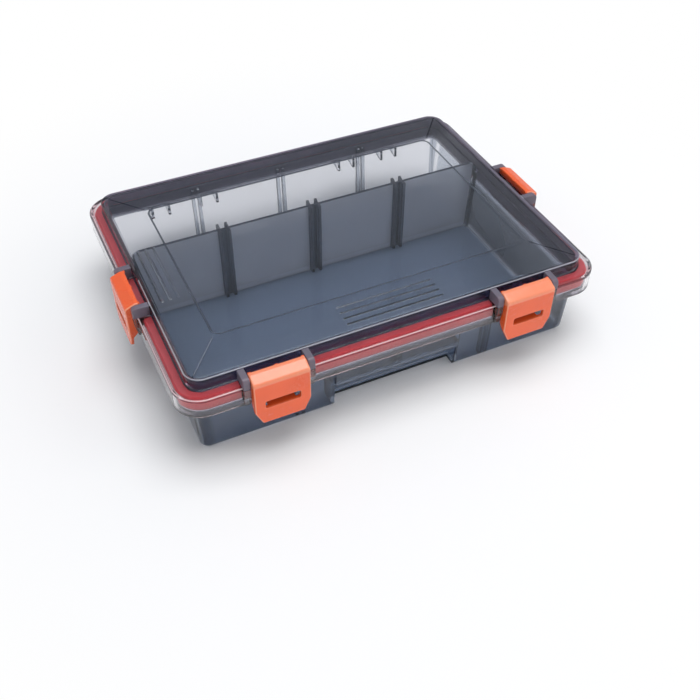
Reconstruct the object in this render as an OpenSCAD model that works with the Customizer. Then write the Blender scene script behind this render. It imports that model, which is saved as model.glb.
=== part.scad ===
// Flat waterproof tackle box: a smoke-grey tray with a clear lid on two back
// hinges, a red seal between them, a long partition, and four orange latches.
// Millimetres. +Z is up and the front is at -Y. The origin is on the table,
// under the middle of the tray.

/* [Box] */
// Width of the lid flange, left to right
box_w = 270; // [240:1:320]
// Depth of the lid flange, front to back
box_d = 205; // [185:1:240]
// Height of the lid flange's top face above the table
rim_z = 52; // [48:1:64]
// Plan radius of the flange's corners
box_corner_r = 17; // [16:0.5:20]

/* [Lid] */
// Thickness of the flange round the lid
flange_t = 2; // [1.6:0.1:2.4]
// Width of the bevel along the flange's outer top edge
flange_bevel = 1; // [0.4:0.1:1.2]
// Thickness of the skirt that hangs from the flange
skirt_t = 2; // [1.6:0.1:2.2]
// Height of the skirt, from the flange's top face down
skirt_h = 13; // [11:0.5:13]
// Distance from the flange's edge in to the raised plateau
plateau_inset = 8.3; // [7.5:0.1:8.8]
// Rise of the plateau's edge above the flange
plateau_rise = 7.2; // [6.5:0.1:9]
// Plan radius of the plateau's corners
plateau_corner_r = 10; // [8:0.5:12]
// Thickness of the plateau's wall
plateau_wall = 2; // [1.6:0.1:2.2]
// Thickness of the lid's roof
roof_t = 1.8; // [1.4:0.1:2.2]
// Width of the roof's sloped border at the left and right
border_side = 24; // [20:0.5:28]
// Width of the roof's sloped border at the front and back
border_front = 28.9; // [24:0.1:32]
// Rise of the sloped border from the plateau's edge to the flat panel
border_rise = 0.6; // [0.3:0.1:1]

/* [Panel line and ribs] */
// Width of the shallow line cut round the flat panel
line_w = 1.2; // [0.8:0.1:1.6]
// Depth of that line
line_depth = 0.4; // [0.2:0.1:0.6]
// Number of grip ribs on the front border
front_ribs = 4; // [2:1:4]
// Number of grip ribs on the left border
side_ribs = 3; // [2:1:3]
// Distance from one grip rib to the next
rib_pitch = 4.9; // [4:0.1:5]
// Width of a grip rib
rib_w = 1.8; // [1:0.1:2.4]
// Height of a grip rib above the border's low edge
rib_h = 0.75; // [0.65:0.05:0.9]
// Length of the ribs on the front border
front_rib_l = 63; // [40:1:80]
// Length of the ribs on the left border
side_rib_l = 52; // [40:1:60]
// Distance from the plateau's edge in to the first rib
rib_margin = 7.6; // [6:0.1:8.5]

/* [Tray] */
// Distance from the flange's edge in to the top of the tray's wall
wall_inset = 9; // [9:0.1:9.6]
// Thickness of the tray's wall
wall_t = 2; // [1.6:0.1:2.4]
// Thickness of the tray's floor
floor_t = 2; // [1.6:0.1:2.6]
// How far the wall leans in from its top to its foot
wall_lean = 2.5; // [1:0.1:3]
// Height of the bevel round the tray's bottom edge
foot_h = 3; // [2:0.1:4]
// How far that bevel goes in
foot_lean = 2; // [1:0.1:2.5]
// Gap between the top of the tray's wall and the underside of the lid's flange
lip_gap = 0.8; // [0.5:0.1:1.2]
// Gap between the lid's skirt and the tray's rim
skirt_gap = 0.6; // [0.4:0.1:0.8]
// Distance from the underside of the lid's flange down to the rim's shelf
shelf_drop = 7; // [6:0.1:7.5]
// Thickness of the rim's shelf
shelf_t = 2.5; // [2:0.1:3]
// How far the rim's downturned edge reaches below the skirt
rim_reveal = 1.3; // [1:0.1:1.8]
// Thickness of that downturned edge
rim_edge_t = 1.8; // [1.5:0.1:2]

/* [Finger recess] */
// Width of the finger recess under the front wall
recess_w = 82; // [60:1:90]
// Height of the finger recess
recess_h = 19; // [14:0.5:22]
// Depth of the finger recess, from the wall's foot
recess_depth = 9; // [6:0.5:12]
// How far the lip above the recess stands out from the wall
grip_lip = 2; // [1:0.1:2.4]

/* [Seal] */
// Distance from the flange's edge in to the seal
seal_inset = 3.2; // [3:0.1:4]
// Height of the seal's narrow crown
seal_crown_h = 1.2; // [0.8:0.1:1.6]
// Width of the ledge on each side of the crown
seal_shoulder = 1.4; // [1:0.1:1.8]
// Gap between the seal and the lid
seal_gap = 0.2; // [0.1:0.05:0.3]

/* [Partition and slots] */
// Thickness of the long partition
partition_t = 1.6; // [1.2:0.1:2]
// Distance from the box's middle back to the partition's middle
partition_y = 30.5; // [20:0.5:40]
// Gap between the partition's top edge and the underside of the roof
partition_gap = 2; // [1.8:0.1:4]
// Radius of the partition's top corners
partition_corner_r = 7; // [4:0.5:10]
// Distance from one divider slot to the next
slot_pitch = 62.5; // [50:0.5:65]
// Clear width of a divider slot on the tray's walls
slot_w = 2.2; // [2:0.1:2.6]
// Clear width of a divider slot on the partition
partition_slot_w = 3.8; // [2.2:0.1:4.2]
// Width of each of the two ribs beside a slot
post_w = 1.8; // [1.4:0.1:2.2]
// How far the slot's ribs stand out
post_depth = 3.2; // [2.5:0.1:4]
// Distance from the underside of the lid's flange down to the tops of the wall ribs
post_drop = 2; // [1.5:0.1:4]
// How far the tips of the slot's rear ribs rise above the partition
horn_h = 1.4; // [0.8:0.1:1.5]
// Clearance at the partition's ends and faces in its slots
partition_clear = 0.2; // [0.1:0.05:0.3]

/* [Latches] */
// Width of a latch
latch_w = 33; // [28:0.5:38]
// Distance from the flange's left or right edge in to a front latch's middle
front_latch_side = 56; // [45:0.5:62]
// Distance of the side latches' middle in front of the box's middle
side_latch_y = 4; // [0:0.5:10]
// Height of the latch pivot above the flange
pivot_rise = 4.4; // [4.3:0.1:4.6]
// Distance from the flange's edge in to the latch pivot
pivot_inset = 0.5; // [0.3:0.1:0.8]
// Radius of the latch's barrel
barrel_r = 3; // [2.6:0.1:3]
// Distance from the pivot out to the latch's face
latch_reach = 6.2; // [6:0.1:6.6]
// Thickness of the latch's face
latch_t = 2.2; // [1.8:0.1:2.4]
// Length of the latch below its pivot
latch_drop = 30.2; // [26:0.1:32]
// Drop of the latch's bend from the top of its barrel
latch_slope = 2.5; // [1.5:0.1:3]
// Width of the slot through the latch's face
latch_slot_w = 21; // [16:0.5:24]
// Height of that slot
latch_slot_h = 5.4; // [4.5:0.1:6]
// Width and height of the latch's cut bottom corners
latch_corner = [4, 8.5];
// Overlap of the latch's hook under the tray's rim
hook_bite = 1.3; // [0.8:0.1:1.5]
// Thickness of the hook
hook_t = 2.6; // [2:0.1:3]
// Width of the hook
hook_w = 16; // [12:0.5:20]
// Gap between the hook and the rim
hook_gap = 0.3; // [0.2:0.05:0.4]
// Thickness of the latch's side walls
latch_side_t = 1.8; // [1.4:0.1:2.2]
// Gap between those side walls and the lid's skirt
latch_skirt_gap = 0.4; // [0.3:0.1:0.8]
// How far the side walls' ends slope back below the face's cut corners
latch_side_slope = 3; // [2:0.1:5]
// How far the barrel's flats lie inside its round
barrel_flat = 0.4; // [0.2:0.1:0.6]
// Width of each of the three small nubs on the latch's inner edge
nub_w = 2; // [1.5:0.1:3]
// How far the nubs stand out
nub_l = 0.5; // [0.3:0.1:0.6]
// Height of the nubs
nub_h = 1; // [0.6:0.1:1.4]
// Radius of the latch's side pegs
peg_r = 1.5; // [1.2:0.1:1.6]
// Radial clearance of the pegs in the ears
peg_clear = 0.05; // [0.03:0.01:0.08]
// How far each peg stops short of its ear's outer face
peg_short = 0.5; // [0.2:0.1:1]
// Thickness of the ears beside each latch
ear_t = 4; // [3.5:0.1:4.5]
// Radius of the ear's round nose
ear_r = 2.8; // [2.6:0.1:2.8]
// Gap between a latch and its ears
ear_gap = 0.35; // [0.3:0.05:0.5]

/* [Hinges] */
// Distance from the flange's left or right edge in to a hinge's middle
hinge_side = 65; // [50:1:75]
// Length of a hinge along its pin
hinge_l = 48; // [42:1:56]
// Length of the lid's knuckle, in the middle of a hinge
knuckle_l = 20; // [14:1:22]
// Gap between the lid's knuckle and the tray's
knuckle_gap = 0.5; // [0.4:0.1:0.8]
// Distance of the hinge pin behind the flange's edge
pin_out = 4.6; // [4.5:0.1:5.5]
// Distance of the hinge pin below the skirt's bottom edge
pin_drop = 1.5; // [1.2:0.1:2]
// Radius of a knuckle
knuckle_r = 3.4; // [3:0.1:3.5]
// Radius of a hinge pin
pin_r = 1.25; // [1:0.05:1.4]
// Radial clearance of the pin in the lid's knuckle
pin_clear = 0.05; // [0.03:0.01:0.08]
// Distance from the pin down to the foot of the tray knuckles' webs
web_h = 6; // [4:0.5:12]
// Thickness of a web, one at each end of a tray knuckle
web_t = 1.8; // [1.4:0.1:2.4]

/* [Hidden] */
$fn = 64;
half_w = box_w / 2;
half_d = box_d / 2;
over = 1; // how far a cut runs past the solid
bite = 0.6; // how far a joined piece sinks into its wall

flange_z = rim_z - flange_t;
skirt_z = rim_z - skirt_h;
edge_z = rim_z + plateau_rise;
panel_z = edge_z + border_rise;
roof_z = edge_z - roof_t;

lip_z = flange_z - lip_gap;
shelf_z = flange_z - shelf_drop;
rim_bottom = skirt_z - rim_reveal;
rim_inset = skirt_t + skirt_gap;
wall_r = box_corner_r - wall_inset;
wall_h = lip_z - foot_h;
// Lean of the wall per millimetre of height
lean_rate = wall_lean / wall_h;
inner_inset = wall_inset + wall_t;
inner_r = wall_r - wall_t;
inner_lean = tidy(lean_rate * (lip_z - floor_t));
over_lean = tidy(lean_rate * over); // the same lean, on a cut past the wall's top

post_z = flange_z - post_drop;
partition_z = edge_z - roof_t - partition_gap;

pivot_z = rim_z + pivot_rise;
hook_z = rim_bottom - hook_gap - pivot_z; // top of the hook, from the pivot
hook_in = hook_bite + rim_inset - pivot_inset; // its tip, from the pivot
skirt_in = pivot_inset; // the skirt's face, from the pivot, outwards

front_latch_x = half_w - front_latch_side;
hinge_x = half_w - hinge_side;
pin_y = half_d + pin_out;
pin_z = skirt_z - pin_drop;
// Where a web or arm ends inside its knuckle, across and up from the pin
knuckle_in = 0.6 * knuckle_r;

// A worked-out size, rounded to a hundredth of a millimetre
function tidy(v) = round(v * 100) / 100;

// ---- shared shapes ----

// The flange's outline set in by inset, with plan corners of radius r
module outline(inset, r) {
    cx = half_w - inset - r;
    cy = half_d - inset - r;
    square([2 * (cx + r), 2 * cy], center = true);
    square([2 * cx, 2 * (cy + r)], center = true);
    for (x = [-1, 1], y = [-1, 1])
        translate([x * cx, y * cy]) circle(r);
}

// A slab of that outline from z0 up to z1
module slab(inset, r, z0, z1) {
    translate([0, 0, z0]) linear_extrude(z1 - z0) outline(inset, r);
}

// A ring between two such outlines
module ring(inset, r, inset_in, r_in, z0, z1) {
    translate([0, 0, z0]) linear_extrude(z1 - z0) difference() {
        outline(inset, r);
        outline(inset_in, r_in);
    }
}

// A profile drawn in X and Z, run l along Y about y = 0
module along_y(l) {
    rotate([90, 0, 0]) linear_extrude(l, center = true) children();
}

// A profile drawn in Y and Z, run l along X about x = 0
module along_x(l) {
    rotate([90, 0, 90]) linear_extrude(l, center = true) children();
}

// A box with round corners of radius r at z1, whose walls lean in by lean at z0
module leaning_box(inset, r, lean, z0, z1) {
    cx = half_w - inset - r;
    cy = half_d - inset - r;
    low = r - lean;
    along_y(2 * cy)
        polygon([[-cx - low, z0], [cx + low, z0], [cx + r, z1], [-cx - r, z1]]);
    along_x(2 * cx)
        polygon([[-cy - low, z0], [cy + low, z0], [cy + r, z1], [-cy - r, z1]]);
    for (x = [-1, 1], y = [-1, 1])
        translate([x * cx, y * cy, z0]) cylinder(h = z1 - z0, r1 = low, r2 = r);
}

// A gabled profile: level at z for half width w, then rising by border_rise
// over the width b, with a flat top; it reaches down to z0
module gable(w, b, z0, z) {
    polygon([
        [-w, z0], [w, z0], [w, z], [w - b, z + border_rise],
        [b - w, z + border_rise], [-w, z]
    ]);
}

// The plateau's solid, set in by inset, from z0 up to a border that starts at z
module plateau(inset, r, z0, z) {
    w = half_w - plateau_inset;
    d = half_d - plateau_inset;
    intersection() {
        slab(plateau_inset + inset, r, z0, z + border_rise + over);
        along_y(box_d) gable(w, border_side, z0, z);
        along_x(box_w) gable(d, border_front, z0, z);
    }
}

// Two ribs with a divider slot of width w between them, run along X, from a profile in Y, Z
module slot_posts(w) {
    for (side = [-1, 1])
        translate([side * (w + post_w) / 2, 0, 0]) along_x(post_w) children();
}

// Puts a latch, or what belongs to it, at each of the four pivots by its index
module at_pivot(i) {
    x = half_w - pivot_inset;
    y = half_d - pivot_inset;
    place = [
        [[-front_latch_x, -y], 0], [[front_latch_x, -y], 0],
        [[-x, -side_latch_y], -90], [[x, -side_latch_y], 90]
    ][i];
    translate([place[0][0], place[0][1], pivot_z]) rotate([0, 0, place[1]]) children();
}

// ---- tray ----

// The tray's drafted shell with its bevelled foot
module tray_shell() {
    difference() {
        union() {
            leaning_box(wall_inset, wall_r, wall_lean, foot_h, lip_z);
            leaning_box(wall_inset + wall_lean, wall_r - wall_lean, foot_lean, 0, foot_h);
        }
        leaning_box(
            inner_inset - over_lean, inner_r + over_lean, inner_lean + over_lean,
            floor_t, lip_z + over
        );
    }
}

// The rim: a shelf for the seal, with a downturned edge that the latches hook
module tray_rim() {
    rim_r = box_corner_r - rim_inset;
    wall_side = wall_inset + wall_t / 2;
    edge_in = rim_inset + rim_edge_t;
    ring(rim_inset, rim_r, wall_side, box_corner_r - wall_side, shelf_z - shelf_t, shelf_z);
    ring(rim_inset, rim_r, edge_in, box_corner_r - edge_in, rim_bottom, shelf_z - shelf_t);
}

// The wall's outer face at height z, as a distance from the box's middle
function wall_y(z) = tidy(half_d - wall_inset - lean_rate * (lip_z - z));

// The front lip above the finger recess, between the recess and the rim
module grip_lip_bar() {
    along_x(recess_w) polygon([
        [bite - wall_y(recess_h), recess_h],
        [-wall_y(recess_h) - grip_lip, recess_h],
        [-wall_y(shelf_z) - grip_lip, shelf_z - shelf_t],
        [bite - wall_y(shelf_z), shelf_z - shelf_t]
    ]);
}

// The box that walls off the recess from the inside, w wide and grown by t
module recess_block(t, front) {
    back = half_d - wall_inset - wall_lean - recess_depth;
    translate([-recess_w / 2 - t, -front, -over])
        cube([recess_w + 2 * t, front - back + t, recess_h + t + over]);
}

// A tray knuckle pair, each joined to the rim, with two webs back to the wall
module tray_hinge() {
    side_l = (hinge_l - knuckle_l) / 2 - knuckle_gap;
    rim_y = half_d - rim_inset - bite;
    top = [
        [pin_y, pin_z + knuckle_r / 2],
        [half_d + skirt_gap, skirt_z - skirt_gap], [rim_y, skirt_z - skirt_gap]
    ];
    for (side = [-1, 1])
        translate([side * (hinge_l - side_l) / 2, 0, 0]) {
            translate([0, pin_y, pin_z]) along_x(side_l) circle(knuckle_r);
            along_x(side_l)
                polygon(concat([[rim_y, rim_bottom], [pin_y, pin_z - knuckle_in]], top));
            for (end = [-1, 1])
                translate([end * (side_l - web_t) / 2, 0, 0]) along_x(web_t) polygon(concat([
                    [wall_y(pin_z - web_h) - bite, pin_z - web_h],
                    [pin_y, pin_z - knuckle_r + bite]
                ], top, [
                    [rim_y, shelf_z - shelf_t],
                    [wall_y(shelf_z - shelf_t) - bite, shelf_z - shelf_t]
                ]));
        }
}

// Slot ribs on a wall at distance d from the middle, leaning with it
module wall_posts(d) {
    drop = tidy(lean_rate * (lip_z - post_z));
    slot_posts(slot_w) polygon([
        [d - inner_lean + bite, floor_t - bite], [d - drop + bite, post_z],
        [d - drop - post_depth, post_z], [d - inner_lean - post_depth, floor_t - bite]
    ]);
}

// All slots: three on the back wall, three on the front wall, two for the partition
module tray_slots() {
    for (i = [-1, 0, 1], side = [0, 180])
        rotate([0, 0, side])
            translate([i * slot_pitch, 0, 0]) wall_posts(half_d - inner_inset);
    for (side = [-1, 1])
        translate([0, partition_y, 0]) rotate([0, 0, side * 90])
            wall_posts(half_w - inner_inset);
}

module tray() {
    color([0.42, 0.44, 0.48, 0.75]) difference() {
        union() {
            tray_shell();
            tray_rim();
            grip_lip_bar();
            tray_slots();
            intersection() {
                recess_block(wall_t, half_d);
                leaning_box(wall_inset, wall_r, wall_lean, foot_h, lip_z);
            }
            for (side = [-1, 1]) translate([side * hinge_x, 0, 0]) tray_hinge();
        }
        recess_block(0, half_d);
        for (side = [-1, 1])
            translate([side * hinge_x, pin_y, pin_z]) along_x(hinge_l + over) circle(pin_r);
    }
}

// ---- seal ----

module seal() {
    color([0.86, 0.22, 0.25]) {
        crown_z = flange_z - seal_gap - seal_crown_h;
        crown_in = seal_inset + seal_shoulder;
        crown_out = wall_inset - seal_shoulder;
        ring(seal_inset, box_corner_r - seal_inset, wall_inset, wall_r, shelf_z, crown_z);
        ring(
            crown_in, box_corner_r - crown_in, crown_out, box_corner_r - crown_out,
            crown_z, flange_z - seal_gap
        );
    }
}

// ---- partition ----

// The plate's outline in X and Z: it follows the leaning walls, with round top corners
module partition_outline() {
    r = partition_corner_r;
    side_z = partition_z - r;
    wide = half_w - inner_inset - partition_clear;
    low = wide - inner_lean;
    high = wide - tidy(lean_rate * (lip_z - side_z));
    polygon([
        [-low, floor_t], [low, floor_t], [high, side_z], [high - r, partition_z],
        [r - high, partition_z], [-high, side_z]
    ]);
    for (side = [-1, 1])
        translate([side * (high - r), side_z]) circle(r);
}

module partition() {
    front = partition_y - partition_t / 2;
    rear = partition_y + partition_t / 2;
    color([0.45, 0.47, 0.51, 0.8]) {
        translate([0, partition_y, 0]) along_y(partition_t) partition_outline();
        for (i = [-1, 0, 1])
            translate([i * slot_pitch, 0, 0]) slot_posts(partition_slot_w) polygon([
                [front - post_depth, floor_t], [front - post_depth, partition_z],
                [rear, partition_z], [rear + post_depth, partition_z + horn_h],
                [rear + post_depth, floor_t]
            ]);
    }
}

// ---- lid ----

// The skirt, the bevelled flange and the plateau, before the hollow is cut
module lid_outside() {
    slab(0, box_corner_r, skirt_z, rim_z - flange_bevel);
    mirror([0, 0, 1])
        leaning_box(0, box_corner_r, flange_bevel, -rim_z, flange_bevel - rim_z);
    plateau(0, plateau_corner_r, flange_z, edge_z);
}

// The hollow under the flange and the hollow under the roof
module lid_inside() {
    slab(skirt_t, box_corner_r - skirt_t, skirt_z - over, flange_z);
    plateau(plateau_wall, plateau_corner_r - plateau_wall, flange_z - over, roof_z);
}

// The line cut round the flat panel
module panel_line() {
    w = half_w - plateau_inset - border_side;
    d = half_d - plateau_inset - border_front;
    translate([0, 0, panel_z - line_depth]) linear_extrude(line_depth + over) difference() {
        square([2 * w, 2 * d], center = true);
        square([2 * (w - line_w), 2 * (d - line_w)], center = true);
    }
}

// Distance from the flange's edge in to the middle of grip rib i
function rib_at(i) = plateau_inset + rib_margin + i * rib_pitch;

// The grip ribs on the front border and on the left border
module grip_ribs() {
    base = edge_z - roof_t / 2;
    rise = roof_t / 2 + rib_h;
    for (i = [0 : front_ribs - 1])
        translate([-front_rib_l / 2, rib_at(i) - half_d - rib_w / 2, base])
            cube([front_rib_l, rib_w, rise]);
    for (i = [0 : side_ribs - 1])
        translate([rib_at(i) - half_w - rib_w / 2, -side_rib_l / 2, base])
            cube([rib_w, side_rib_l, rise]);
}

// The pair of ears beside a latch, about its pivot at the origin
module ears() {
    wall = plateau_inset - pivot_inset + bite;
    foot = skirt_z - pivot_z;
    for (side = [-1, 1])
        translate([side * (latch_w + ear_t + 2 * ear_gap) / 2, 0, 0]) along_x(ear_t)
            difference() {
                union() {
                    circle(ear_r);
                    polygon([
                        [0, flange_z - pivot_z], [wall, flange_z - pivot_z],
                        [wall, ear_r], [0, ear_r]
                    ]);
                    polygon([
                        [-ear_r, 0], [bite - skirt_in, 0], [bite - skirt_in, foot],
                        [-skirt_in - bite, foot], [-ear_r, foot / 2]
                    ]);
                }
                circle(peg_r + peg_clear);
            }
}

// The lid's knuckle with its arm from the skirt
module lid_hinge() {
    translate([0, pin_y, pin_z]) along_x(knuckle_l) difference() {
        union() {
            circle(knuckle_r);
            polygon([
                [-pin_out - bite, pin_drop], [0, -knuckle_r / 2], [knuckle_in, knuckle_in],
                [-pin_out - bite, pin_drop + skirt_h - flange_t]
            ]);
        }
        circle(pin_r + pin_clear);
    }
}

module lid() {
    color([0.62, 0.67, 0.75, 0.45]) difference() {
        union() {
            difference() {
                lid_outside();
                lid_inside();
            }
            grip_ribs();
            for (i = [0 : 3]) at_pivot(i) ears();
            for (side = [-1, 1]) translate([side * hinge_x, 0, 0]) lid_hinge();
        }
        panel_line();
    }
}

// ---- latches ----

// The latch's front face in X and Z, with cut bottom corners and its slot
module latch_face() {
    w = latch_w / 2;
    c = latch_corner;
    top = barrel_r - latch_slope;
    difference() {
        polygon([
            [-w, top], [w, top], [w, c[1] - latch_drop], [w - c[0], -latch_drop],
            [c[0] - w, -latch_drop], [-w, c[1] - latch_drop]
        ]);
        translate([0, hook_z + latch_slot_h / 2])
            square([latch_slot_w, latch_slot_h], center = true);
    }
}

// One latch about its pivot, hanging at -Y: barrel, top leg, face, sides and hook
module latch_body() {
    back = barrel_r - barrel_flat;
    top = barrel_r - latch_slope;
    inside = latch_t - latch_reach;
    side_in = -skirt_in - latch_skirt_gap;
    side_end = latch_corner[1] - latch_drop;
    along_x(latch_w) {
        circle(barrel_r);
        polygon([
            [back, 0], [back, barrel_r], [0, barrel_r], [-latch_reach, top],
            [-latch_reach, top - latch_t], [0, -back]
        ]);
    }
    translate([0, latch_t / 2 - latch_reach, 0]) along_y(latch_t) latch_face();
    for (side = [-1, 1])
        translate([side * (latch_w - latch_side_t) / 2, 0, 0]) along_x(latch_side_t) polygon([
            [inside - bite, 0], [side_in, -barrel_r / 3], [side_in, side_end + latch_side_slope],
            [inside - bite, side_end]
        ]);
    along_x(hook_w) polygon([
        [inside - bite, hook_z], [hook_in, hook_z], [hook_in, hook_z - hook_t / 3],
        [hook_in - hook_t, hook_z - hook_t], [inside - bite, hook_z - hook_t]
    ]);
    along_x(latch_w + 2 * (ear_gap + ear_t - peg_short)) circle(peg_r);
    for (side = [-1, 0, 1])
        translate([side * (latch_w - nub_w) / 2 - nub_w / 2, back - over, barrel_r - nub_h])
            cube([nub_w, nub_l + over, nub_h]);
}

module latch(i) {
    color([0.96, 0.42, 0.22]) at_pivot(i) latch_body();
}

module latch_front_left() {
    latch(0);
}

module latch_front_right() {
    latch(1);
}

module latch_left() {
    latch(2);
}

module latch_right() {
    latch(3);
}

// ---- hinge pins ----

module hinge_pin(side) {
    color("silver") translate([side * hinge_x, pin_y, pin_z])
        along_x(hinge_l) circle(pin_r);
}

module hinge_pin_left() {
    hinge_pin(-1);
}

module hinge_pin_right() {
    hinge_pin(1);
}

tray();
seal();
partition();
lid();
latch_front_left();
latch_front_right();
latch_left();
latch_right();
hinge_pin_left();
hinge_pin_right();
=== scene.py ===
"""Looks for the flat waterproof tackle box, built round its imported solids.

Sizes are in millimetres in the model's own frame: +Z is up, the front is at -Y and
the origin is on the table under the middle of the tray. The lid, the seal and the
latches are new rounded surfaces in the places of their solids. The tray, the
partition and the hinge pins are the solids themselves, with finishes of their own.
"""

import logging
import math
from collections.abc import Sequence
from dataclasses import dataclass, field
from enum import Enum
from typing import Any

import bmesh
import bpy
import numpy as np
from mathutils import Matrix, Vector


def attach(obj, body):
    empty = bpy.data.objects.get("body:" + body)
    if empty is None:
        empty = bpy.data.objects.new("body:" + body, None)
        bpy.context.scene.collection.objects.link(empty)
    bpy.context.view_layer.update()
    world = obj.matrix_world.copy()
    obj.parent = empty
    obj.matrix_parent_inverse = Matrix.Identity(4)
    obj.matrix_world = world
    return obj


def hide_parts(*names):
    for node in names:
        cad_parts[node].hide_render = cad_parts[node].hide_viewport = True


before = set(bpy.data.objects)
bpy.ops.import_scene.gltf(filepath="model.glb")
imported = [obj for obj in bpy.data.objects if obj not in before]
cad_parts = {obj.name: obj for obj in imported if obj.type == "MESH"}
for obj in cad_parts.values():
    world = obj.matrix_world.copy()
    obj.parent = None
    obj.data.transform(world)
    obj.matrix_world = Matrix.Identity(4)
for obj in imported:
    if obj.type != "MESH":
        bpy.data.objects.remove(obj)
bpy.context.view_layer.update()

Array = np.ndarray
Triple = tuple[float, float, float]
Colour = Triple
Pair = tuple[float, float]
Faces = list[tuple[int, ...]]
LOG = logging.getLogger("tackle_box")

MM = 0.001
SAME_POINT = 1e-4  # millimetres; points of a line that are closer are one
WELD, SLIVER = 2e-6, 1e-7  # metres; closer vertices and shorter edges are merged
CREASE_DEG = 32.0  # edges that turn by more than this stay sharp
PIVOT_Z = 56.4  # height of the latches' pivots


# ---- meshes ----


def unit(v: Array) -> Array:
    """Each row of v divided by its own length."""
    return v / np.maximum(np.linalg.norm(v, axis=-1, keepdims=True), 1e-12)


def smooth(low: float, high: float, x: Array) -> Array:
    """The smooth step 3 s^2 - 2 s^3, where s runs from 0 at low to 1 at high."""
    s = np.clip((x - low) / (high - low), 0, 1)
    return s * s * (3 - 2 * s)


def filleted(
    corners: Sequence[Triple], steps: int = 5, ease: float = 0.3, closed: bool = False
) -> Array:
    """Rounds the corners of a flat polyline.

    A corner P between the unit directions u and v turns by the angle t. Its arc
    starts r tan(t / 2) before P, about a centre that lies r to the side of u, and
    runs through t. A point a little before and after each arc keeps flats flat.

    Args:
        corners: Each corner's two places and its radius; an open line's ends have none.
        steps: Segments in each arc.
        ease: Distance of the extra point from each end of an arc.
        closed: Whether the last corner joins the first.

    Returns:
        The rounded line's points, one row each.
    """
    rows = np.array(corners, float)
    p, r = rows[:, :2], rows[:, 2]
    before, after = np.roll(p, 1, 0), np.roll(p, -1, 0)
    if not closed:
        r[[0, -1]] = 0
        before[0], after[-1] = 2 * p[0] - p[1], 2 * p[-1] - p[-2]
    u, v = unit(p - before), unit(after - p)
    turn = np.arctan2(u[:, 0] * v[:, 1] - u[:, 1] * v[:, 0], (u * v).sum(1))
    across = np.stack([-u[:, 1], u[:, 0]], 1) * np.where(turn < 0, -1, 1)[:, None]
    reach = r * np.tan(np.abs(turn) / 2)
    free = np.linalg.norm(after - p, axis=1) - reach - np.roll(reach, -1)
    gap_after = np.minimum(ease, free / 3)
    gap_before = np.roll(gap_after, 1)
    start = p - u * reach[:, None]
    centre = start + across * r[:, None]
    t = (np.abs(turn)[:, None] * np.linspace(0, 1, steps + 1))[..., None]
    arc = centre[:, None] + r[:, None, None] * (
        np.sin(t) * u[:, None] - np.cos(t) * across[:, None]
    )
    lead = start - u * gap_before[:, None]
    trail = p + v * (reach + gap_after)[:, None]
    if not closed:
        lead[0], trail[-1] = p[0], p[-1]
    path = np.concatenate([lead[:, None], arc, trail[:, None]], 1).reshape(-1, 2)
    step = np.linalg.norm(path - np.roll(path, 1, 0), axis=1)
    if not closed:
        step[0] = 1
    return path[step > SAME_POINT]


@dataclass
class Surface:
    """Points and faces that grow into one closed mesh.

    Attributes:
        points: Blocks of points, in millimetres.
        faces: Faces as tuples of point numbers.
        edge_share: For each point, 1 on a rounded edge and 0 on a flat.
    """

    points: list[Array] = field(default_factory=list)
    faces: Faces = field(default_factory=list)
    edge_share: list[Array] = field(default_factory=list)

    def add(self, points: Array, faces: Faces, edge: Array | None = None) -> None:
        """Adds a closed shell, turned so that its faces point outwards.

        The shell's signed volume is the sum over its faces' triangles of
        a . (b x c) / 6; where it is negative, every face is reversed.

        Args:
            points: The shell's points, one row each.
            faces: The shell's faces, numbered from its own first point.
            edge: Each point's edge share, or None for a shell with none.
        """
        start = sum(len(p) for p in self.points)
        fans = [(f[0], f[i], f[i + 1]) for f in faces for i in range(1, len(f) - 1)]
        a, b, c = points[np.array(fans)].transpose(1, 0, 2)
        volume = float((a * np.cross(b, c)).sum()) / 6
        order = -1 if volume < 0 else 1
        self.points.append(points)
        self.faces += [tuple(start + i for i in f[::order]) for f in faces]
        self.edge_share.append(np.zeros(len(points)) if edge is None else edge)

    def make(self, name: str) -> bpy.types.Object:
        """Makes the mesh and its object, in metres.

        Args:
            name: The object's name.

        Returns:
            The new object, at the origin.
        """
        points = np.concatenate(self.points) * MM
        mesh = bpy.data.meshes.new(name)
        mesh.from_pydata(points.tolist(), [], self.faces)
        share = mesh.attributes.new("edge_share", "FLOAT", "POINT")
        share.data.foreach_set("value", np.concatenate(self.edge_share).astype(np.float32))
        bm = bmesh.new()
        bm.from_mesh(mesh)
        bmesh.ops.remove_doubles(bm, verts=bm.verts, dist=WELD)
        bmesh.ops.dissolve_degenerate(bm, edges=bm.edges, dist=SLIVER)
        bm.to_mesh(mesh)
        bm.free()
        mesh.shade_smooth()
        mesh.set_sharp_from_angle(angle=math.radians(CREASE_DEG))
        piece = bpy.data.objects.new(name, mesh)
        bpy.context.scene.collection.objects.link(piece)
        return piece


def grid_quads(rows: int, columns: int, start: int = 0) -> Array:
    """The quads of a grid whose points are numbered row by row from start."""
    n = start + np.arange(rows * columns).reshape(rows, columns)
    return np.stack([n[:-1, :-1], n[1:, :-1], n[1:, 1:], n[:-1, 1:]], -1).reshape(-1, 4)


def outer_ring(numbers: Array) -> Array:
    """A grid's outermost point numbers, once round from its first corner."""
    n = numbers
    return np.concatenate([n[:-1, 0], n[-1, :-1], n[:0:-1, -1], n[0, :0:-1]])


def loop_quads(rings: Array, closed: bool) -> Array:
    """The quads between rings of point numbers, one ring in each row.

    Args:
        rings: Point numbers; each ring's last point joins its first.
        closed: Whether the last ring joins the first.

    Returns:
        The quads, one row each.
    """
    here = rings if closed else rings[:-1]
    there = np.roll(rings, -1, 0) if closed else rings[1:]
    quads = [here, there, np.roll(there, -1, 1), np.roll(here, -1, 1)]
    return np.stack(quads, -1).reshape(-1, 4)


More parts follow.
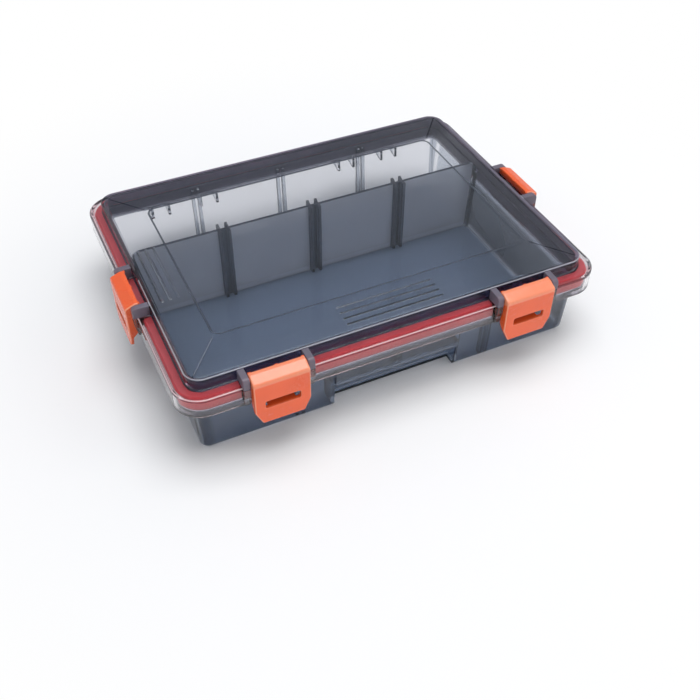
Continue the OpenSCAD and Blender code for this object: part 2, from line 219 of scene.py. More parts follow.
def as_faces(quads: Array) -> Faces:
    """An array of quads as a list of tuples."""
    return list(map(tuple, quads.tolist()))


def rounded_bar(
    outline: Array, x0: float, x1: float, fillet: float, steps: int = 4
) -> tuple[Array, Faces]:
    """A bar along X with round end edges, from its outline in (a, b).

    At the angle t along an end's rounding, the ring lies f (1 - cos t) in from the
    end and the outline is drawn in by f (1 - sin t) along its own normals.

    Args:
        outline: The closed outline's points.
        x0: The first end.
        x1: The other end.
        fillet: Radius f of the end edges.
        steps: Segments in each rounding.

    Returns:
        Points as (x, a, b), and faces.
    """
    tangent = unit(np.roll(outline, -1, 0) - np.roll(outline, 1, 0))
    normal = np.stack([tangent[:, 1], -tangent[:, 0]], 1)
    ahead = np.roll(outline, -1, 0)
    area = (outline[:, 0] * ahead[:, 1] - outline[:, 1] * ahead[:, 0]).sum()
    t = np.linspace(0, math.pi / 2, steps + 1)
    along = np.append(fillet * (1 - np.cos(t)), 2 * fillet)
    inward = np.append(fillet * (1 - np.sin(t)), 0.0)
    x = np.concatenate([x0 + along, x1 - along[::-1]])
    draw = np.concatenate([inward, inward[::-1]])
    flat = outline[None] - normal[None] * np.sign(area) * draw[:, None, None]
    rings = np.concatenate(
        [np.broadcast_to(x[:, None, None], (*flat.shape[:2], 1)), flat], -1
    )
    count = len(outline)
    index = np.arange(len(x) * count).reshape(len(x), count)
    faces = as_faces(loop_quads(index, closed=False))
    faces += [tuple(index[0].tolist()), tuple(index[-1][::-1].tolist())]
    return rings.reshape(-1, 3), faces


# ---- plan of the box ----


@dataclass(frozen=True)
class Plan:
    """The rounded rectangles that every ring of the box follows.

    The corner radius falls with the inset under the flange and on the plateau, and a
    little slower between them, where the plateau's own smaller corner takes over.

    Attributes:
        half_w: Half the width of the lid's flange.
        half_d: Half the depth of the lid's flange.
        corners: Insets from the flange's edge, and the corner radius at each.
    """

    half_w: float = 135.0
    half_d: float = 102.5
    corners: tuple[Pair, ...] = ((0.0, 17.0), (2.0, 15.0), (8.3, 10.0), (18.3, 0.0))

    def radius(self, inset: Array) -> Array:
        """Corner radius at a distance in from the flange's edge."""
        return np.interp(inset, *zip(*self.corners))


@dataclass(frozen=True)
class Lattice:
    """Grid lines over a rounded rectangle, as shares of its straights and corners.

    A line at x has the straight share t = x / c within the corner centres at c, and
    beyond them the corner share a = (|x| - c) / r with the sign of x. In a corner the
    square of shares (a, b) is bent to a quarter disc: the point lies in the direction
    of (a, b), at the distance max(|a|, |b|).

    Attributes:
        plan: The box's plan.
        straight: Shares t in X and Y, one array each.
        corner: Shares a in X and Y, one array each.
    """

    plan: Plan
    straight: tuple[Array, Array]
    corner: tuple[Array, Array]

    @classmethod
    def through(cls, plan: Plan, inset: float, lines: tuple[Array, Array]) -> "Lattice":
        """The lattice whose lines pass the given places on one rounded rectangle.

        Args:
            plan: The box's plan.
            inset: Inset of the rounded rectangle that the lines are given on.
            lines: The lines' places in X and in Y.

        Returns:
            The lattice.
        """
        r = float(plan.radius(inset))
        centres = (plan.half_w - inset - r, plan.half_d - inset - r)
        straight = tuple(np.clip(x / c, -1, 1) for x, c in zip(lines, centres))
        corner = tuple(
            np.sign(x) * np.clip((np.abs(x) - c) / r, 0, 1)
            for x, c in zip(lines, centres)
        )
        return cls(plan, straight, corner)

    def shares(self) -> tuple[Array, Array]:
        """Works out the shares of every grid point.

        Returns:
            Straight shares, and corner shares that are bent to a quarter disc.
        """
        t = np.stack(np.meshgrid(*self.straight, indexing="ij"), -1)
        a = np.stack(np.meshgrid(*self.corner, indexing="ij"), -1)
        far = np.abs(a).max(-1, keepdims=True)
        return t, unit(a) * far

    def rim(self) -> Array:
        """Grid point numbers along the outer edge, anticlockwise from above."""
        n = np.arange(len(self.straight[0]) * len(self.straight[1]))
        return outer_ring(n.reshape(len(self.straight[0]), -1))

    def place(self, t: Array, a: Array, inset: Array, r: Array) -> Array:
        """Points in X, Y: t times the corner centres, plus r times the share a."""
        half = np.array([self.plan.half_w, self.plan.half_d])
        return t * (half - (inset + r)[..., None]) + a * r[..., None]

    def sheet(self, inset: float) -> Array:
        """Lays the whole grid over one rounded rectangle.

        Args:
            inset: The rectangle's inset from the flange's edge.

        Returns:
            Every grid point's X and Y.
        """
        t, a = self.shares()
        level = np.full(t.shape[:2], float(inset))
        return self.place(t, a, level, self.plan.radius(level))

    def rings(self, profile: Array, r: Array | None = None) -> Array:
        """Rings round the box, one for each profile point of inset and height.

        Args:
            profile: Rows of inset and height.
            r: Corner radii, or None for the plan's own.

        Returns:
            Points with one ring in each row.
        """
        t, a = (s.reshape(-1, 2)[self.rim()] for s in self.shares())
        inset = np.repeat(profile[:, :1], len(t), 1)
        r = self.plan.radius(inset) if r is None else np.repeat(r[:, None], len(t), 1)
        flat = self.place(t[None], a[None], inset, r)
        z = np.repeat(profile[:, 1:], len(t), 1)[..., None]
        return np.concatenate([flat, z], -1)


# ---- shader maths ----


class Value:
    """A shader socket that adds Math nodes when it is used in an expression."""

    def __init__(self, net: "Net", socket: bpy.types.NodeSocket) -> None:
        """Wraps one output socket of a net."""
        self.net = net
        self.socket = socket

    def _math(self, operation: str, first: Any, second: Any = None) -> "Value":
        """One Math node.

        Args:
            operation: The node's operation.
            first: Its first value or socket.
            second: Its second value or socket, if it takes one.

        Returns:
            The node's result.
        """
        values = {0: first} if second is None else {0: first, 1: second}
        node = self.net.node("Math", values, operation=operation)
        return Value(self.net, node.outputs[0])

    def __add__(self, other: Any) -> "Value":
        """The sum."""
        return self._math("ADD", self, other)

    __radd__ = __add__

    def __sub__(self, other: Any) -> "Value":
        """The difference."""
        return self._math("SUBTRACT", self, other)

    def __rsub__(self, other: Any) -> "Value":
        """The difference from a number."""
        return self._math("SUBTRACT", other, self)

    def __mul__(self, other: Any) -> "Value":
        """The product."""
        return self._math("MULTIPLY", self, other)

    __rmul__ = __mul__

    def __truediv__(self, other: Any) -> "Value":
        """The quotient."""
        return self._math("DIVIDE", self, other)

    def __pow__(self, other: Any) -> "Value":
        """The power."""
        return self._math("POWER", self, other)

    def __abs__(self) -> "Value":
        """The size without its sign."""
        return self._math("ABSOLUTE", self)

    def larger(self, other: Any) -> "Value":
        """The larger of the two."""
        return self._math("MAXIMUM", self, other)

    def nearest(self) -> "Value":
        """The nearest whole number."""
        return self._math("ROUND", self)

    def step(self, low: float, high: float) -> "Value":
        """A smooth step, 3 s^2 - 2 s^3 between its ends.

        Args:
            low: Where it is 0.
            high: Where it is 1.

        Returns:
            The step.
        """
        values = {"Value": self, "From Min": low, "From Max": high}
        node = self.net.node("MapRange", values, interpolation_type="SMOOTHSTEP")
        return Value(self.net, node.outputs["Result"])


class Net:
    """The node tree of one material or of the world."""

    def __init__(self, owner: Any) -> None:
        """Empties the owner's tree.

        Args:
            owner: A material or a world.
        """
        owner.use_nodes = True
        self.owner = owner
        self.tree = owner.node_tree
        self.tree.nodes.clear()

    def node(
        self, kind: str, values: dict[str | int, Any] | None = None, **settings: Any
    ) -> bpy.types.Node:
        """Makes any node.

        Args:
            kind: The node's type, without "ShaderNode".
            values: Numbers, colours, sockets or Values for its inputs, by name or number.
            settings: Its own settings, which are set first.

        Returns:
            The node.
        """
        made = self.tree.nodes.new("ShaderNode" + kind)
        for name, value in settings.items():
            setattr(made, name, value)
        for name, value in (values or {}).items():
            target = made.inputs[name]
            if isinstance(value, Value):
                value = value.socket
            if isinstance(value, bpy.types.NodeSocket):
                self.tree.links.new(value, target)
            elif isinstance(value, tuple) and target.type == "RGBA":
                target.default_value = (*value, 1.0)
            else:
                target.default_value = value
        return made

    def position(self) -> bpy.types.NodeSocket:
        """The point on the piece, in its own coordinates in metres."""
        return self.node("TexCoord").outputs["Object"]

    def axis(self, name: str) -> Value:
        """One of that point's coordinates, X, Y or Z."""
        split = self.node("SeparateXYZ", {0: self.position()})
        return Value(self, split.outputs[name])

    def edge_share(self) -> Value:
        """1 on the piece's rounded edges and 0 on its flats."""
        made = self.node("Attribute", attribute_name="edge_share")
        return Value(self, made.outputs["Fac"])

    def noise(self, per_metre: float, detail: float = 3.0, stretch: Triple = (1, 1, 1)) -> Value:
        """Smooth noise from 0 to 1.

        Args:
            per_metre: How many lumps there are in a metre.
            detail: How many finer layers are added.
            stretch: How much faster it runs along each axis.

        Returns:
            The noise.
        """
        turned = self.node("Mapping", {"Vector": self.position(), "Scale": stretch})
        values = {"Vector": turned.outputs[0], "Scale": per_metre, "Detail": detail}
        return Value(self, self.node("TexNoise", values).outputs["Fac"])

    def blend(self, share: Value, low: Any, high: Any) -> bpy.types.NodeSocket:
        """A colour between low, where share is 0, and high, where it is 1."""
        return self.node("Mix", {0: share, 6: low, 7: high}, data_type="RGBA").outputs[2]

    def bump(self, height: Value, distance: float) -> bpy.types.NodeSocket:
        """A normal that follows a height, whose 1 stands for a distance in metres."""
        values = {"Height": height, "Distance": distance, "Strength": 1.0}
        return self.node("Bump", values).outputs[0]

    def surface(self, values: dict[str, Any]) -> bpy.types.NodeSocket:
        """A Principled shader with these inputs."""
        return self.node("BsdfPrincipled", values).outputs[0]

    def mix(
        self, share: Value, low: bpy.types.NodeSocket, high: bpy.types.NodeSocket
    ) -> bpy.types.NodeSocket:
        """A shader between low, where share is 0, and high, where it is 1."""
        return self.node("MixShader", {0: share, 1: low, 2: high}).outputs[0]

    def output(self, shader: bpy.types.NodeSocket, kind: str = "OutputMaterial") -> None:
        """Joins a shader to the tree's output."""
        self.node(kind, {"Surface": shader})


# ---- finishes ----


@dataclass(frozen=True)
class Zone:
    """A part of a moulding with a tint of its own, such as a thicker wall, or with painted light
    and shade.

    Places are in millimetres. X and Y count from the middle, without their sign.

    Attributes:
        through: Colour of light after one wall there; in painted light and shade, the painted
            colour.
        z: Its lowest and highest point.
        x: Its nearest and farthest X.
        y: Its nearest and farthest Y.
        outline: Half width, half depth and corner radius of a rounded rectangle.
        off: Its nearest and farthest distance out from that outline.
        line: Two points (x, y) of a slanting line that it follows.
        line_half: Half its width across that line.
        facing: Direction (x, y), and how far out along it the zone starts.
        pitch: Distance after which it comes again in X.
        marked: Whether it shows only on rounded edges, ribs and lines.
        soft: Width of its blurred border.
        weight: How much of it shows.
    """

    through: Colour
    z: Pair
    x: Pair | None = None
    y: Pair | None = None
    outline: Triple | None = None
    off: Pair = (0.0, 100.0)
    line: tuple[Pair, Pair] | None = None
    line_half: float = 0.35
    facing: Triple | None = None
    pitch: float = 0.0
    marked: bool = False
    soft: float = 0.3
    weight: float = 1.0

    def share(self, net: "Net") -> Value:
        """How much of the zone there is at a point, from 0 to 1.

        It is the product of one smooth step for every side of the zone. The distance
        to a rounded rectangle is the length of the part of |xy| - half + r above 0,
        plus the larger of its two parts where both are below 0, less r.

        Args:
            net: The material's net.

        Returns:
            The share.
        """
        x, y, z = (net.axis(name) * (1 / MM) for name in "XYZ")
        share = self.between(z, self.z) * self.weight
        if self.marked:
            share = share * net.edge_share()
        if self.facing is not None:
            to_x, to_y, start = self.facing
            share = share * (x * to_x + y * to_y).step(start - self.soft, start + self.soft)
        if self.pitch:
            x = x - (x / self.pitch).nearest() * self.pitch
        x, y = abs(x), abs(y)
        if self.x is not None:
            share = share * self.between(x, self.x)
        if self.y is not None:
            share = share * self.between(y, self.y)
        if self.outline is not None:
            half_w, half_d, r = self.outline
            qx, qy = x - (half_w - r), y - (half_d - r)
            far = qx.larger(qy)
            round_part = (qx.larger(0.0) ** 2.0 + qy.larger(0.0) ** 2.0) ** 0.5
            share = share * self.between(round_part + far - far.larger(0.0) - r, self.off)
        if self.line is not None:
            (x0, y0), (x1, y1) = self.line
            run, climb = x1 - x0, y1 - y0
            off = abs((x - x0) * climb - (y - y0) * run) / math.hypot(run, climb)
            share = share * self.between(off, (-1.0, self.line_half))
        return share

    def between(self, place: Value, ends: Pair) -> Value:
        """1 between two ends and 0 beyond them, with a soft border about each end.

        Args:
            place: A place along one direction, in millimetres.
            ends: The two ends.

        Returns:
            The share, from 0 to 1.
        """
        low, high = ends
        half = self.soft / 2
        return place.step(low - half, low + half) * (1 - place.step(high - half, high + half))


@dataclass(frozen=True)
class Finish:
    """A named finish.

    Attributes:
        name: The material's name.
    """

    name: str

    def shade(self, net: Net) -> bpy.types.NodeSocket:
        """The shader, made in the material's net."""
        raise NotImplementedError

    def make(self) -> bpy.types.Material:
        """Makes the finish's material.

        Returns:
            The material, with its shader joined to its output.
        """
        material = bpy.data.materials.new(self.name)
        net = Net(material)
        net.output(self.shade(net))
        return material


@dataclass(frozen=True)
class ClearPlastic(Finish):
    """Clear or smoky moulded plastic with fine scuffs.

    Attributes:
        through: Colour of light after one wall.
        zones: Parts with a tint of their own, and parts with painted light and shade; a later
            one lies over an earlier.
        painted_light: Painted highlights and painted shade, each laid over as a rough surface of
            its own colour.
        edge: Colour painted on rounded edges as shade, as if the edge bent most of the light
            away.
        roughness: Roughness of the clean surface.
        scuff: How much rougher the scuffed patches are.
        ripple: Height of the moulding's slow ripple, in metres.
        ior: Index of refraction.
        patches: How many scuffed patches, fine scratches and ripples a metre has.
        painted_layer: Least roughness of the painted light and shade, and what the patches add
            to it.
        patchy: Least share of the painted light and shade that shows, and what the patches add
            to it.
    """

    through: Colour
    zones: tuple[Zone, ...] = ()
    painted_light: tuple[Zone, ...] = ()
    edge: Colour = (0.16, 0.16, 0.19)
    roughness: float = 0.03
    scuff: float = 0.04
    ripple: float = 0.00002
    ior: float = 1.46
    patches: Triple = (14.0, 900.0, 38.0)
    painted_layer: Pair = (0.3, 0.2)
    patchy: Pair = (0.8, 0.4)

    def shade(self, net: Net) -> bpy.types.NodeSocket:
        """Tinted glass by zones, scuffed in patches, with painted shade on rounded edges, under
        painted light and shade.

        Args:
            net: The material's net.

        Returns:
            The shader.
        """
        patches, scratches, ripples = self.patches
        cloud, fine = net.noise(patches, 2.0), net.noise(scratches, 2.0, (1.0, 0.25, 1.0))
        scuffed = (cloud.step(0.5, 0.75) * fine.step(0.45, 0.7)) * self.scuff
        tint = net.blend(cloud, self.through, tuple(0.96 * c for c in self.through))
        for zone in self.zones:
            tint = net.blend(zone.share(net), tint, zone.through)
        shader = net.surface(
            {
                # Painted shade on rounded edges, the panel's line and the ribs' sides.
                "Base Color": net.blend(net.edge_share(), tint, self.edge),
                "Roughness": scuffed + self.roughness,
                "Transmission Weight": 1.0,
                "IOR": self.ior,
                "Normal": net.bump(net.noise(ripples, 1.0), self.ripple),
            }
        )
        # Painted highlights and painted shade, each a rough surface mixed over the glass.
        for zone in self.painted_light:
            rough = cloud * self.painted_layer[1] + self.painted_layer[0]
            painted_layer = net.surface({"Base Color": zone.through, "Roughness": rough})
            share = zone.share(net) * (cloud * self.patchy[1] + self.patchy[0])
            shader = net.mix(share, shader, painted_layer)
        return shader


@dataclass(frozen=True)
class MouldedPlastic(Finish):
    """Solid-coloured moulded plastic or rubber, with a painted highlight on its rounded edges.

    Attributes:
        colour: Main colour.
        edge: Colour of the painted highlight along rounded edges.
        edge_pull: How much of the edge colour shows there.
        roughness: Roughness of the surface.
        grain: Height of the fine moulding grain, in metres.
        sheen: Strength of its mirror reflection, 0.5 for a plain plastic.
        glow: Share of the light that is scattered below its surface.
        depth: How far red, green and blue light get below it, in metres.
        dulled: Share of brightness lost in dull patches.
        ior: Index of refraction.
        lumps: How many dull patches and grains a metre has.
        uneven: Roughness that the patches and the grains add.
    """

    colour: Colour
    edge: Colour
    edge_pull: float = 0.6
    roughness: float = 0.4
    grain: float = 0.00002
    sheen: float = 0.5
    glow: float = 0.0
    depth: Triple = (0.004, 0.0012, 0.0006)
    dulled: float = 0.08
    ior: float = 1.46
    lumps: Pair = (60.0, 2600.0)
    uneven: Pair = (0.12, 0.06)

    def shade(self, net: Net) -> bpy.types.NodeSocket:
        """The colour with dull patches and a painted highlight on its edges, over a fine
        moulding grain.

        Args:
            net: The material's net.

        Returns:
            The shader.
        """
        cloud, fine = net.noise(self.lumps[0], 3.0), net.noise(self.lumps[1], 2.0)
        (by_cloud, by_fine), even = self.uneven, self.roughness - sum(self.uneven) / 2
        dull = tuple(c * (1 - self.dulled) for c in self.colour)
        body = net.blend(cloud.step(0.35, 0.7), self.colour, dull)
        # Painted highlight on the rounded edges.
        painted_light = net.edge_share() * (cloud * 0.5 + 0.7) * self.edge_pull
        return net.surface(
            {
                "Base Color": net.blend(painted_light.step(0.0, 1.0), body, self.edge),
                "Roughness": cloud * by_cloud + fine * by_fine + even,
                "IOR": self.ior,
                "Specular IOR Level": self.sheen,
                "Subsurface Weight": self.glow,
                "Subsurface Radius": self.depth,
                "Subsurface Scale": 1.0,
                "Normal": net.bump(fine, self.grain),
            }
        )


@dataclass(frozen=True)
class DrawnWire(Finish):
    """Drawn steel wire, with streaks along it.

    Attributes:
        colour: Colour of the metal.
        roughness: Roughness between the streaks.
        grain: Height of the streaks, in metres.
        dulled: Share of brightness, and rise of roughness, in the streaks.
        streaks: How many streaks a metre has.
    """

    colour: Colour = (0.62, 0.62, 0.63)
    roughness: float = 0.22
    grain: float = 0.00001
    dulled: Pair = (0.7, 0.2)
    streaks: float = 3000.0

    def shade(self, net: Net) -> bpy.types.NodeSocket:
        """Metal with duller, rougher streaks.

        Args:
            net: The material's net.

        Returns:
            The shader.
        """
        streak = net.noise(self.streaks, 2.0, (0.02, 1.0, 1.0))
        dull = tuple(self.dulled[0] * c for c in self.colour)
        return net.surface(
            {
                "Base Color": net.blend(streak, self.colour, dull),
                "Metallic": 1.0,
                "Roughness": streak * self.dulled[1] + self.roughness,
                "Normal": net.bump(streak, self.grain),
            }
        )


@dataclass(frozen=True)
class FloorPaper(Finish):
    """Pale paper that turns to a white backdrop at a distance, for the camera alone.

    Attributes:
        colour: Colour of the paper.
        white_from: Distances over which it turns white.
        roughness: Roughness of the paper.
        mottles: How many faint patches a metre has.
    """

    colour: Colour = (0.96, 0.96, 0.965)
    white_from: Pair = (0.16, 0.36)
    roughness: float = 0.85
    mottles: float = 3.0

    def shade(self, net: Net) -> bpy.types.NodeSocket:
        """Faintly mottled paper, mixed with plain white by the distance from the middle.

        Args:
            net: The material's net.

        Returns:
            The shader.
        """
        dim = tuple(0.99 * c for c in self.colour)
        paper = net.surface(
            {
                "Base Color": net.blend(net.noise(self.mottles, 4.0), self.colour, dim),
                "Roughness": self.roughness,
                "Specular IOR Level": 0.2,
            }
        )
        white = net.node("Emission", {"Color": (1.0, 1.0, 1.0), "Strength": 1.0})
        x, y = net.axis("X"), net.axis("Y")
        away = (x * x + y * y) ** 0.5
        seen = Value(net, net.node("LightPath").outputs["Is Camera Ray"])
        return net.mix(away.step(*self.white_from) * seen, paper, white.outputs[0])


# ---- latches' places ----


class Side(Enum):
    """Where a latch hangs: its pivot's place, and its turn about the vertical."""

    FRONT_LEFT = ("latch_front_left", (-79.0, -102.0), 0.0)
    FRONT_RIGHT = ("latch_front_right", (79.0, -102.0), 0.0)
    LEFT = ("latch_left", (-134.5, -4.0), -90.0)
    RIGHT = ("latch_right", (134.5, -4.0), 90.0)

    def place(self, points: Array) -> Array:
        """Moves points to where the latch hangs.

        The point is (x, -outwards), turned by the side's angle and moved to the pivot.

        Args:
            points: Points about the pivot, as (x, outwards, up).

        Returns:
            The points in the box's own frame.
        """
        angle = math.radians(self.value[2])
        x, y = points[:, 0], -points[:, 1]
        px, py = self.value[1]
        return np.stack(
            [
                px + x * math.cos(angle) - y * math.sin(angle),
                py + x * math.sin(angle) + y * math.cos(angle),
                PIVOT_Z + points[:, 2],
            ],
            1,
        )


# ---- lid ----


@dataclass
class Lid:
    """The clear lid: skirt, flange, plateau, ribs, ears and knuckles.

    Attributes:
        plan: The box's plan.
        skirt_z: Height of the skirt's bottom edge.
        under_z: Height of the flange's underside.
        rim_z: Height of the flange's top.
        edge_z: Height of the plateau's edge.
        roof_z: Height of the roof's underside at that edge.
        skirt_t: Thickness of the skirt.
        plateau_inset: Inset of the plateau's wall.
        wall_t: Thickness of that wall.
        border: Widths of the sloped border at the sides and at the front.
        border_rise: Rise of that border.
        line: Half width and depth of the line round the flat panel.
        line_core: Half width of that line's bottom.
        line_r: Corner radius of that line.
        rib: Half width and height of a grip rib.
        rib_pitch: Distance between ribs.
        rib_in: Distance from the plateau's edge to the first rib.
        front_rib_half: Half length of the four front ribs.
        side_rib_half: Half length of the three left ribs.
        rib_flank: Where a rib's sides start, in half widths.
        rib_slope: Length of the slope at a rib's end.
        rib_pull: Edge share on the ribs' outer sides, where it paints shade.
        rib_shift: How far outwards those are, in half widths.
        edge_r: Radius of the plateau's edge.
        edge_rs: Radii of the shell's edges below it, down and back up inside.
        edge_pulls: Edge share on all of those edges, from the plateau's edge on, where it paints
            shade.
        bent: Bend, as 1 - cos, from which a profile point counts as an edge.
        hip_k: Sharpness of the roof's hips.
        rib_lines: Grid lines across a rib, in half widths from its middle.
        end_lines: Grid lines near a rib's end, in millimetres from it.
        line_counts: Grid lines at an even distance, near a corner of the panel's line,
            and in a corner of the box.
        line_gaps: Least distance of those from the other lines, and of any two.
        ear: Corners of an ear, outwards and up from the pivot, with their radii.
        ear_x: Inner and outer face of a pair of ears, from a latch's middle.
        knuckle_x: Middle and half length of the right knuckle.
        knuckle_r: Radius of a knuckle.
        root: How far in front of the pin a knuckle's arm starts, and its two heights.
        pin: The pin's places in Y and Z.
        end_r: Radii of the ears' and the knuckles' end edges.
    """

    plan: Plan
    skirt_z: float = 39.0
    under_z: float = 50.0
    rim_z: float = 52.0
    edge_z: float = 59.2
    roof_z: float = 57.4
    skirt_t: float = 2.0
    plateau_inset: float = 8.3
    wall_t: float = 2.0
    border: Pair = (24.0, 28.9)
    border_rise: float = 0.6
    line: Pair = (0.6, 0.06)
    line_core: float = 0.1
    line_r: float = 5.0
    rib: Pair = (0.9, 0.75)
    rib_pitch: float = 4.9
    rib_in: float = 7.6
    front_rib_half: float = 31.5
    side_rib_half: float = 26.0
    rib_flank: float = 0.5
    rib_slope: float = 1.0
    rib_pull: float = 0.45
    rib_shift: float = 0.7
    edge_r: float = 0.8
    edge_rs: tuple[float, ...] = (0.7, 1.2, 0.6, 0.6, 0.6, 0.5, 0.8)
    edge_pulls: tuple[float, ...] = (0.6, 0.5, 0.0, 1.0, 1.0, 0.3, 0.6, 0.6)
    bent: float = 0.02
    hip_k: float = 60.0
    rib_lines: tuple[float, ...] = (-1.7, -1.3, -1.0, -0.8, -0.55, 0.0, 0.55, 0.8, 1.0, 1.3)
    end_lines: tuple[float, ...] = (-1.0, -0.6, -0.3, 0.0, 0.3)
    line_counts: tuple[int, int, int] = (66, 21, 9)
    line_gaps: Pair = (0.8, 0.12)
    ear: tuple[Triple, ...] = (
        (-8.2, 2.75, 0.2),
        (2.8, 2.75, 2.7),
        (2.8, -8.7, 2.0),
        (1.15, -17.3, 0.4),
        (-0.1, -17.3, 0.2),
        (-0.1, -6.0, 0.3),
        (-8.2, -6.0, 0.2),
    )
    ear_x: Pair = (16.85, 20.85)
    knuckle_x: Pair = (70.0, 10.0)
    knuckle_r: float = 3.4
    root: Triple = (5.2, 1.6, 12.3)
    pin: Pair = (107.1, 37.5)
    end_r: Pair = (0.45, 0.4)

    @property
    def half(self) -> Array:
        """Half width and half depth of the plateau."""
        return np.array([self.plan.half_w, self.plan.half_d]) - self.plateau_inset

    @property
    def panel(self) -> Array:
        """Half width and half depth of the line round the flat panel."""
        return self.half - np.array(self.border) - self.line[0]

    def front_ribs(self) -> Array:
        """The front ribs' places in Y."""
        return self.rib_in + self.rib_pitch * np.arange(4) - self.half[1]

    def side_ribs(self) -> Array:
        """The left ribs' places in X."""
        return self.rib_in + self.rib_pitch * np.arange(3) - self.half[0]

    def roof_lines(self, cap_inset: float) -> tuple[Array, Array]:
        """Grid lines for the roof, close together at ribs and at the panel's line.

        Args:
            cap_inset: Inset of the roof grid's outer edge.

        Returns:
            The lines in X and in Y.
        """
        r = float(self.plan.radius(cap_inset))
        across, ends = np.array(self.rib_lines) * self.rib[0], np.array(self.end_lines)
        even_count, near_count, corner_count = self.line_counts
        near = np.linspace(-self.line_r - 1, 1.0, near_count)
        corner = r * (1 - np.linspace(0, 1, corner_count))
        clear, least = self.line_gaps
        lines = []
        for axis, (ribs, end) in enumerate(
            [(self.side_ribs(), self.front_rib_half), (self.front_ribs(), self.side_rib_half)]
        ):
            outer = (self.plan.half_w, self.plan.half_d)[axis] - cap_inset
            close = np.concatenate(
                [
                    (ribs[:, None] + across).ravel(),
                    *(side * part for side in (1, -1) for part in (
                        end + ends, self.panel[axis] + near, outer - corner
                    )),
                ]
            )
            even = np.linspace(-outer, outer, even_count)[3:-3]
            even = even[np.abs(even[:, None] - close).min(1) > clear]
            all_lines = np.sort(np.concatenate([close, even]))
            kept = all_lines[np.append(np.diff(all_lines) > least, True)]
            kept[0], kept[-1] = -outer, outer
            lines.append(kept)
        return lines[0], lines[1]

    def rise(self, xy: Array) -> Array:
        """Height of the sloped border above the plateau's edge.

        The share in from each edge is 0 at the edge and 1 at the panel. The height is
        the border's rise times the smaller share, with a soft turn at the hips:
        -log(exp(-k p) + exp(-k q)) / k.

        Args:
            xy: Points in X and Y.

        Returns:
            The height at each point.
        """
        share = np.clip((self.half - np.abs(xy)) / np.array(self.border), 0, 1)
        k = self.hip_k
        low = -np.log(np.exp(-k * share).sum(-1)) / k
        return self.border_rise * np.clip(low + math.log(2) / k, 0, 1)

    def line_share(self, xy: Array) -> Array:
        """1 on the line round the panel, falling to 0 at its sides.

        The distance to a rounded rectangle is the length of the part of
        |xy| - panel + r that is above 0, less r.

        Args:
            xy: Points in X and Y.

        Returns:
            The share at each point.
        """
        q = np.abs(xy) - self.panel + self.line_r
        away = np.linalg.norm(np.maximum(q, 0), axis=-1)
        away = np.abs(away + np.minimum(q.max(-1), 0) - self.line_r)
        return 1 - smooth(self.line_core, self.line[0], away)

    def rib_share(self, xy: Array, outwards: float = 0.0) -> Array:
        """1 on the ribs, with a smooth step across each and at its ends.

        Args:
            xy: Points in X and Y.
            outwards: How far the share is moved towards the plateau's edge.

        Returns:
            The share at each point.
        """
        shares = []
        for axis, places, half_l in (
            (1, self.front_ribs(), self.front_rib_half),
            (0, self.side_ribs(), self.side_rib_half),
        ):
            off = np.abs(xy[..., axis, None] + outwards - places).min(-1)
            ends = 1 - smooth(half_l - self.rib_slope, half_l, np.abs(xy[..., 1 - axis]))
            sides = smooth(self.rib_flank * self.rib[0], self.rib[0], off)
            shares.append(ends * (1 - sides))
        return np.maximum(*shares)

    def roof(self, xy: Array) -> Array:
        """Height of the roof: border and line, lifted to one height by the ribs' share."""
        z = self.edge_z + self.rise(xy) - self.line[1] * self.line_share(xy)
        return z + (self.edge_z + self.rib[1] - z) * self.rib_share(xy)

    def shell(self, surface: Surface) -> None:
        """Adds the lid's shell: roof, wall, flange and skirt, with its hollow.

        A profile of inset and height, with rounded corners, is carried round the
        box, and the roof's top and underside close it.

        Args:
            surface: The surface that it becomes a part of.
        """
        inside = self.plateau_inset + self.wall_t
        outer_in, inner_in = (v + self.edge_r + 0.5 for v in (self.plateau_inset, inside))
        lattice = Lattice.through(self.plan, outer_in, self.roof_lines(outer_in))
        flats = [
            (outer_in, self.edge_z),
            (self.plateau_inset, self.edge_z),
            (self.plateau_inset, self.rim_z),
            (0.0, self.rim_z),
            (0.0, self.skirt_z),
            (self.skirt_t, self.skirt_z),
            (self.skirt_t, self.under_z),
            (inside, self.under_z),
            (inside, self.roof_z),
            (inner_in, self.roof_z),
        ]
        radii = (0.0, self.edge_r, *self.edge_rs, 0.0)
        corners = np.column_stack([flats, radii])
        profile = filleted(corners)
        top, under = lattice.sheet(outer_in), lattice.sheet(inner_in)
        rings = lattice.rings(profile[1:-1])
        ceiling = (self.roof_z + self.rise(under))[..., None]
        blocks = [
            np.concatenate([top, self.roof(top)[..., None]], -1).reshape(-1, 3),
            rings.reshape(-1, 3),
            np.concatenate([under, ceiling], -1).reshape(-1, 3),
        ]
        size, count = len(blocks[0]), rings.shape[1]
        # The edge share paints shade on the shell's rounded edges, on the line round the panel
        # and on the ribs' outer sides.
        ahead = unit(np.diff(profile, axis=0))
        turn = 1 - (ahead[1:] * ahead[:-1]).sum(1)
        away = np.linalg.norm(profile[1:-1, None] - corners[1:-1, :2], axis=-1)
        pull = np.array(self.edge_pulls)[away.argmin(1)]
        turned = np.repeat(np.clip(turn / self.bent, 0, 1) * pull, count)
        rib_side = self.rib_pull * self.rib_share(top, self.rib_shift * self.rib[0])
        marks = np.maximum(self.line_share(top), rib_side)
        edge = np.concatenate([marks.ravel(), turned, np.zeros(under[..., 0].size)])
        middle = size + np.arange(rings.shape[0] * count).reshape(-1, count)
        last = size + middle.size
        index = np.concatenate([lattice.rim()[None], middle, last + lattice.rim()[None]])
        shape = top.shape[:2]
        quads = np.concatenate(
            [
                grid_quads(*shape),
                loop_quads(index, closed=False),
                grid_quads(*shape, start=last)[:, ::-1],
            ]
        )
        surface.add(np.concatenate(blocks), as_faces(quads), edge)

